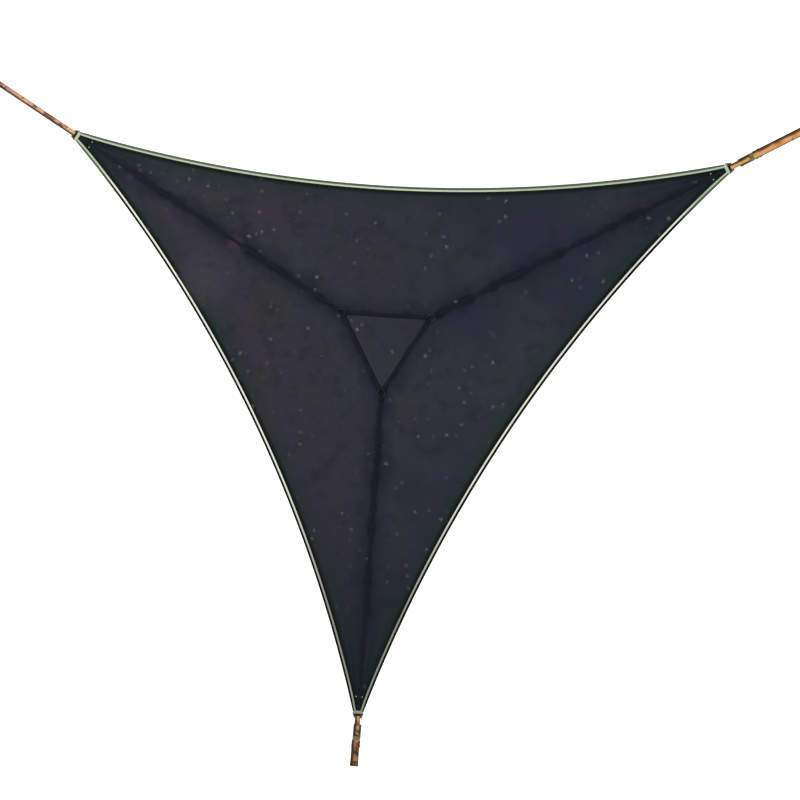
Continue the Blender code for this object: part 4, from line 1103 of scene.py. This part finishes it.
def seam_tapes():
    """Dark tape sewn under every seam and under each side of the centre panel."""
    size = (SEAM_TAPE_WIDTH, SEAM_TAPE)
    start, end = TIP_RADIUS - SEAM_TAPE_SETBACK, CENTRE_RADIUS - SEAM_TAPE_OVERLAP
    radii = np.linspace(start, end, SEAM_TAPE_POINTS)
    path = np.stack([radii, seam_height(radii) - SEAM_TAPE_DROP], 1)
    for corner, angle in CORNER_ANGLES.items():
        strap_piece(f"seam_tape_{corner}", path, size, TAPE_STEP, turned_frame(angle), BLACK_WEBBING)
    height = float(seam_height(0.0)) - SEAM_TAPE_DROP - SEAM_TAPE - LAID_GAP
    half = CENTRE_SIDE / 2 - CENTRE_TAPE_SETBACK
    path = ((-half, height), (half, height))
    for edge, angle in EDGE_ANGLES.items():
        matrix = shifted(turned_frame(angle), y=CENTRE_RADIUS / 2)
        strap_piece(f"centre_tape_{edge}", path, size, TAPE_STEP, matrix, BLACK_WEBBING)


def ring_piece(name, line, wire, bead, sides, look, node):
    """A closed ring of round wire, with a low bead where its ends are welded."""
    count = len(line)
    from_weld = np.abs(np.arange(count) - count // 2) / count
    radius = wire * (1 + bead * np.exp(-(from_weld / WELD_SHARE) ** 2))
    piece(name, tube_mesh(name, line, radius, sides, closed=True), look, node)


def inner_ring_line():
    """A circle round the place where a seam meets two inner straps."""
    turn = full_turn(INNER_RING_POINTS) + INNER_RING_START
    circle = np.stack([np.cos(turn), np.sin(turn), 0 * turn], 1)
    return INNER_RING_RADIUS * circle + (INNER_RADIUS, 0, INNER_RING_HEIGHT)


def corner_ring_line():
    """The middle of a corner ring's wire: four straight bars with a quadratic bend at each corner."""
    corners = np.array([(CORNER_BAR_X, -CORNER_BAR_HALF), (OUTER_BAR_X, -OUTER_BAR_HALF),
                        (OUTER_BAR_X, OUTER_BAR_HALF), (CORNER_BAR_X, CORNER_BAR_HALF)])
    start = corners + unit(np.roll(corners, 1, axis=0) - corners) * CORNER_RING_BEND
    end = corners + unit(np.roll(corners, -1, axis=0) - corners) * CORNER_RING_BEND
    t = np.linspace(0, 1, CORNER_BEND_POINTS)[None, :, None]
    bends = start[:, None] * (1 - t) ** 2 + 2 * corners[:, None] * t * (1 - t) + end[:, None] * t ** 2
    t = np.linspace(0, 1, CORNER_BAR_POINTS + 2)[None, 1:-1, None]
    bars = end[:, None] * (1 - t) + np.roll(start, -1, axis=0)[:, None] * t
    flat = np.concatenate([bends, bars], 1).reshape(-1, 2)
    return np.pad(flat, ((0, 0), (0, 1)))


def rings(corner):
    """The coated ring between the seam and inner straps, and the ring at the tip."""
    inner = moved(inner_ring_line(), turned_frame(CORNER_ANGLES[corner]))
    ring_piece(f"ring_{corner}", inner, INNER_WIRE, INNER_BEAD, INNER_RING_SIDES, BLACK_STEEL,
               f"inner_ring_{corner}")
    tip = moved(corner_ring_line(), pull_frame(corner))
    ring_piece(f"tip_ring_{corner}", tip, CORNER_WIRE, CORNER_BEAD, CORNER_RING_SIDES, BRIGHT_STEEL,
               f"corner_ring_{corner}")


def corner_loop(corner):
    """Pale webbing folded round the corner ring, with a leg sewn over and under the tip."""
    matrix = pull_frame(corner)
    half = CORNER_WIRE + WIRE_EASE + CORNER_LOOP / 2
    leaves, levels = CORNER_LOOP_BENDS
    upper, lower = CORNER_LOOP_LEGS
    path = joined(
        (-upper, CORNER_LOOP_OVER),
        arc((CORNER_BAR_X, 0), half, 90, -90),
        (leaves, -half), (levels, -CORNER_LOOP_UNDER), (-lower, -CORNER_LOOP_UNDER))
    strap_piece(f"tip_loop_{corner}", path, (2 * CORNER_LOOP_HALF_WIDTH, CORNER_LOOP), LOOP_STEP, matrix,
                PALE_WEBBING, f"corner_loop_{corner}")
    rows = [(x, CORNER_LOOP_OVER + CORNER_LOOP / 2) for x in LOOP_ROWS_OVER]
    rows += [(x, -CORNER_LOOP_UNDER - CORNER_LOOP / 2) for x in LOOP_ROWS_UNDER]
    across = CORNER_LOOP_HALF_WIDTH - LOOP_ROW_INSET
    lines = [((x, -across, z), (x, across, z)) for x, z in rows]
    stitching(f"tip_stitches_{corner}", lines, matrix, DARK_ON_PALE)


def ring_guard(corner):
    """A tongue of brown webbing sewn under the tip, below the ring, with a black patch on it."""
    matrix = pull_frame(corner)
    strap_piece(f"tip_guard_{corner}", GUARD_PATH, (GUARD_WIDTH, STRAP), TIP_STEP, matrix,
                BROWN_WEBBING)
    strap_piece(f"guard_patch_{corner}", GUARD_PATCH_PATH, (GUARD_PATCH_WIDTH, STRAP), TIP_STEP, matrix,
                BLACK_WEBBING)


# Suspension

def fold_round(x, radius, start, end):
    """The middle of webbing folded round a bar on the line of pull."""
    return arc((x, 0), radius + WIRE_EASE + WEBBING / 2, start, end)


def link_strap_path():
    """One loop of webbing round the corner ring and the ratchet's bolt, spliced on top."""
    bolt = SPOOL_X + BOLT_X
    layer = WEBBING / 2 + LAID_GAP
    end = bolt - FOLD_LENGTH
    return joined(
        (LINK_X + LINK_START, 3 * layer), (LINK_X + SPLICE, 3 * layer), (end + LINK_STEP_END, layer),
        fold_round(bolt, BOLT_RADIUS, 90, -90),
        (end, -layer), (LINK_X, -layer),
        fold_round(OUTER_BAR_X, CORNER_WIRE, 270, 90),
        (LINK_X, layer), (LINK_X + SPLICE - SPLICE_END, layer))


def eye_path(height, end, least_x):
    """Webbing that ends in an eye, folded back under itself for a splice, but not past least_x."""
    neck = end - EYE_LENGTH
    half = EYE_HALF_HEIGHT - WEBBING / 2
    under = height - WEBBING - 2 * LAID_GAP
    slope_end = neck + EYE_SLOPE_LENGTH
    return joined(
        (neck, height), (slope_end, height + EYE_SLOPE_RISE * half),
        arc((end - EYE_HALF_HEIGHT, height), half, 90, -90),
        (slope_end, height - EYE_SLOPE_FALL * half),
        (neck + EYE_UNDER_START, under), (max(neck - SPLICE, least_x), under))


def plain_strap_path():
    """Webbing folded round the corner ring and sewn under itself, with an eye at its other end."""
    under = -WEBBING - 2 * LAID_GAP
    return joined(
        (LINK_X + 2 * SPLICE, under), (LINK_X, under),
        fold_round(OUTER_BAR_X, CORNER_WIRE, 270, 90),
        (LINK_X, 0.0), eye_path(0.0, PLAIN_STRAP_END, LINK_X))


def sling_path(end):
    """A loose end over the ratchet, a lap on the ratchet's strap, and an eye."""
    return joined(
        COVER_END, (COVER_DROOPS, COVER_HEIGHT), (COVER_RISES, COVER_HEIGHT), (SLING_START, SLING_HEIGHT),
        eye_path(SLING_HEIGHT, end, RATCHET_STRAP_END + SPLICE_END / 2))


def winding_path():
    """Through the mandrel's slot, then a spiral whose radius grows by a pitch every turn."""
    wound = np.linspace(SLOT_EXIT, WINDING_TURNS * 2 * math.pi, WINDING_POINTS)
    radius = WINDING_START + WINDING_PITCH * wound / (2 * math.pi)
    spiral = np.stack([-radius * np.cos(wound), radius * np.sin(wound)], 1)
    return joined((SLOT_START, 0.0), (-WINDING_START, 0.0), spiral)


def webbing_piece(name, node, corner, path, matrix, step, width=WEBBING_WIDTH, body="deck"):
    """A piece of orange webbing. The front one has its painted shade along its other edge."""
    strap_piece(f"{name}_{corner}", path, (width, WEBBING), step, matrix, ORANGE_WEBBING,
                f"{node}_{corner}", body, shaded_side=-1 if corner == "front" else 1)


def sewn_box(name, matrix, x0, x1, z, width=WEBBING_WIDTH):
    """A box and cross of brown thread on top of the webbing."""
    lines = box_cross(x0, x1, width / 2 - BOX_SIDE_INSET, z)
    stitching(name, lines, matrix, BROWN_THREAD)


def spring_piece(kind, corner, angle, ends, body):
    """A coil spring: a helix along a line through the spool's axis."""
    along = np.array([math.cos(angle), 0, math.sin(angle)])
    beside = np.array([-math.sin(angle), 0, math.cos(angle)])
    turn = np.linspace(0, 2 * math.pi * SPRING_TURNS, SPRING_TURNS * SPRING_TURN_POINTS + 1)[:, None]
    length = ends[1] - ends[0]
    circle = beside * np.cos(turn) + np.array([0, 1.0, 0]) * np.sin(turn)
    line = along * (ends[0] + length * turn / turn[-1]) + SPRING_RADIUS * circle
    matrix = spool_frame(corner)
    axis = matrix[:3, :3] @ along
    name = f"{kind}_coil_{corner}"
    mesh = tube_mesh(name, moved(line, matrix), SPRING_WIRE, SPRING_SIDES, frame_up=axis)
    made = piece(name, mesh, BRIGHT_STEEL, f"{kind}_spring_{corner}", body)
    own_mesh(made)


def ratchet_suspension(corner, end):
    """A link, the strap on the spool and the sling sewn to it, and the ratchet's two springs."""
    pull, spool = pull_frame(corner), spool_frame(corner)
    webbing_piece("link_webbing", "link_strap", corner, link_strap_path(), pull, TIP_STEP)
    top = 3 * (WEBBING / 2 + LAID_GAP) + WEBBING / 2
    box_end = LINK_X + SPLICE - WIDE_BOX_INSET
    sewn_box(f"link_stitches_{corner}", pull, LINK_X + LINK_BOX_INSET, box_end, top)
    path = ((0.0, STRAP_HEIGHT), (RATCHET_STRAP_END, STRAP_HEIGHT))
    webbing_piece("tree_webbing", "tree_strap", corner, path, spool, STRAP_STEP)
    webbing_piece("sling_webbing", "tree_sling", corner, sling_path(end), spool, STRAP_STEP, SLING_WIDTH)
    top = SLING_HEIGHT + WEBBING / 2
    box_end = RATCHET_STRAP_END - BOX_INSET
    sewn_box(f"sling_stitches_{corner}", spool, SLING_START + WIDE_BOX_INSET, box_end, top)
    neck = end - EYE_LENGTH
    splice = max(neck - SPLICE, RATCHET_STRAP_END + SPLICE_END)
    sewn_box(f"eye_stitches_{corner}", spool, splice + BOX_INSET, neck - BOX_INSET, top, SLING_WIDTH)
    webbing_piece("wound_webbing", "strap_winding", corner, winding_path(), spool, WINDING_STEP,
                  body=f"spool_{corner}")
    spring_piece("drive", corner, DRIVE_ANGLE, DRIVE_SPRING, f"handle_{corner}")
    spring_piece("lock", corner, LOCK_ANGLE, LOCK_SPRING, "deck")


def plain_suspension():
    """The left strap, sewn round its ring and to an eye."""
    matrix = pull_frame("left")
    webbing_piece("tree_webbing", "tree_strap", "left", plain_strap_path(), matrix, STRAP_STEP)
    neck = PLAIN_STRAP_END - EYE_LENGTH
    top = WEBBING / 2
    sewn_box("ring_stitches_left", matrix, LINK_X + WIDE_BOX_INSET, LINK_X + 2 * SPLICE - RING_BOX_INSET, top)
    sewn_box("eye_stitches_left", matrix, neck - SPLICE + WIDE_BOX_INSET, neck - BOX_INSET, top)


def dress_steel(thing, finish, rounding):
    """One of the ratchets' own solids: its plating, and edges rounded by a radius."""
    thing.data.materials.clear()
    thing.data.materials.append(finish)
    weld = thing.modifiers.new("weld", "WELD")
    weld.merge_threshold = MERGE_DISTANCE
    edge = thing.modifiers.new("rounded_edges", "BEVEL")
    edge.width = rounding
    edge.segments = 2
    edge.limit_method = "ANGLE"
    edge.angle_limit = ROUNDED_ANGLE


def build():
    """Every visible piece, and the plating of the ratchets' own solids."""
    grid, from_edge, from_seam = deck_grid()
    for edge in EDGE_ANGLES:
        binding_piece(edge)
        edge_webbing_piece(edge)
        edge_stitching(edge)
        cloth_panel(edge, grid, from_edge, from_seam)
    for corner in CORNER_ANGLES:
        seam_strap(corner)
    for edge in EDGE_ANGLES:
        inner_strap(edge)
    centre_cloth()
    for corner in CORNER_ANGLES:
        for mark in "ab":
            eyelet_piece(f"eyelet_{corner}_{mark}")
    for make in (rings, corner_loop):
        for corner in CORNER_ANGLES:
            make(corner)
    seam_tapes()
    for corner in CORNER_ANGLES:
        ring_guard(corner)
    for corner, end in SLING_ENDS.items():
        ratchet_suspension(corner, end)
    plain_suspension()
    for name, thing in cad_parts.items():
        if name.startswith(("ratchet_frame", "ratchet_handle")):
            dress_steel(thing, YELLOW_ZINC, EDGE_ROUNDING)
        elif name.startswith(("mandrel", "anchor_bolt", "drive_pawl", "lock_pawl")):
            dress_steel(thing, BRIGHT_ZINC, EDGE_ROUNDING)
        elif name.startswith("ratchet_wheel"):
            dress_steel(thing, BRIGHT_ZINC, TOOTH_ROUNDING)


# Studio

def floor():
    """A pale matt floor well below the deck, clear from below, where the underside is looked at."""
    steps = np.array([-FLOOR_HALF, FLOOR_HALF])
    corners = np.stack([*np.meshgrid(steps, steps), np.full((2, 2), FLOOR_HEIGHT)], -1)
    mesh = skin("floor", corners, wrap=(False, False))
    matt = Finish("pale_floor", "#fbfbfb", roughness=0.9, emission_color=(1, 1, 1, 1), emission_strength=0.6)
    below = matt.add("NewGeometry", output="Backfacing")
    clear = matt.add("BsdfTransparent")
    either = matt.add("MixShader", {0: below, 1: matt.shader.outputs[0], 2: clear})
    matt.tree.links.new(either, matt.tree.nodes["Material Output"].inputs["Surface"])
    mesh.materials.append(matt.material)
    placed("floor", mesh)


def aimed(place, target, up):
    """The matrix of a camera or lamp at a place, looking at a target."""
    back = unit(np.asarray(place, float) - np.asarray(target, float))
    right = unit(np.cross(up, back))
    rows = np.eye(4)
    rows[:3] = np.stack([right, np.cross(back, right), back, place], 1)
    return Matrix(rows.tolist())


def studio():
    """Soft light all round with one broad lamp, and the camera of the photograph."""
    scene = bpy.context.scene
    world = bpy.data.worlds.new("studio")
    world.use_nodes = True
    background = world.node_tree.nodes["Background"]
    background.inputs[0].default_value = (1.0, 1.0, 1.0, 1.0)
    # A camera sees the world as white as the floor, so that the floor's edge doesn't show.
    seen = add(world.node_tree, "LightPath", output="Is Camera Ray")
    strength = add(world.node_tree, "MapRange", {"Value": seen, "To Min": 0.72, "To Max": 1.0})
    world.node_tree.links.new(strength, background.inputs[1])
    scene.world = world
    scene.view_settings.view_transform = "Standard"
    lamp = bpy.data.lights.new("key_light", "AREA")
    lamp.shape = "DISK"
    lamp.size = 6.0
    lamp.energy = 480.0
    placed("key_light", lamp).matrix_world = aimed((-6.0, 5.0, 9.0), (0, 0, 0), (0, 1, 0))
    lens = bpy.data.cameras.new("camera")
    lens.lens = VIEW_LENS
    lens.clip_end = 500.0
    place = np.asarray(VIEW_TARGET) + unit(np.asarray(VIEW_BACK)) * VIEW_DISTANCE
    scene.camera = placed("camera", lens)
    scene.camera.matrix_world = aimed(place, VIEW_TARGET, (-math.sin(VIEW_ROLL), math.cos(VIEW_ROLL), 0))


studio()
floor()
build()
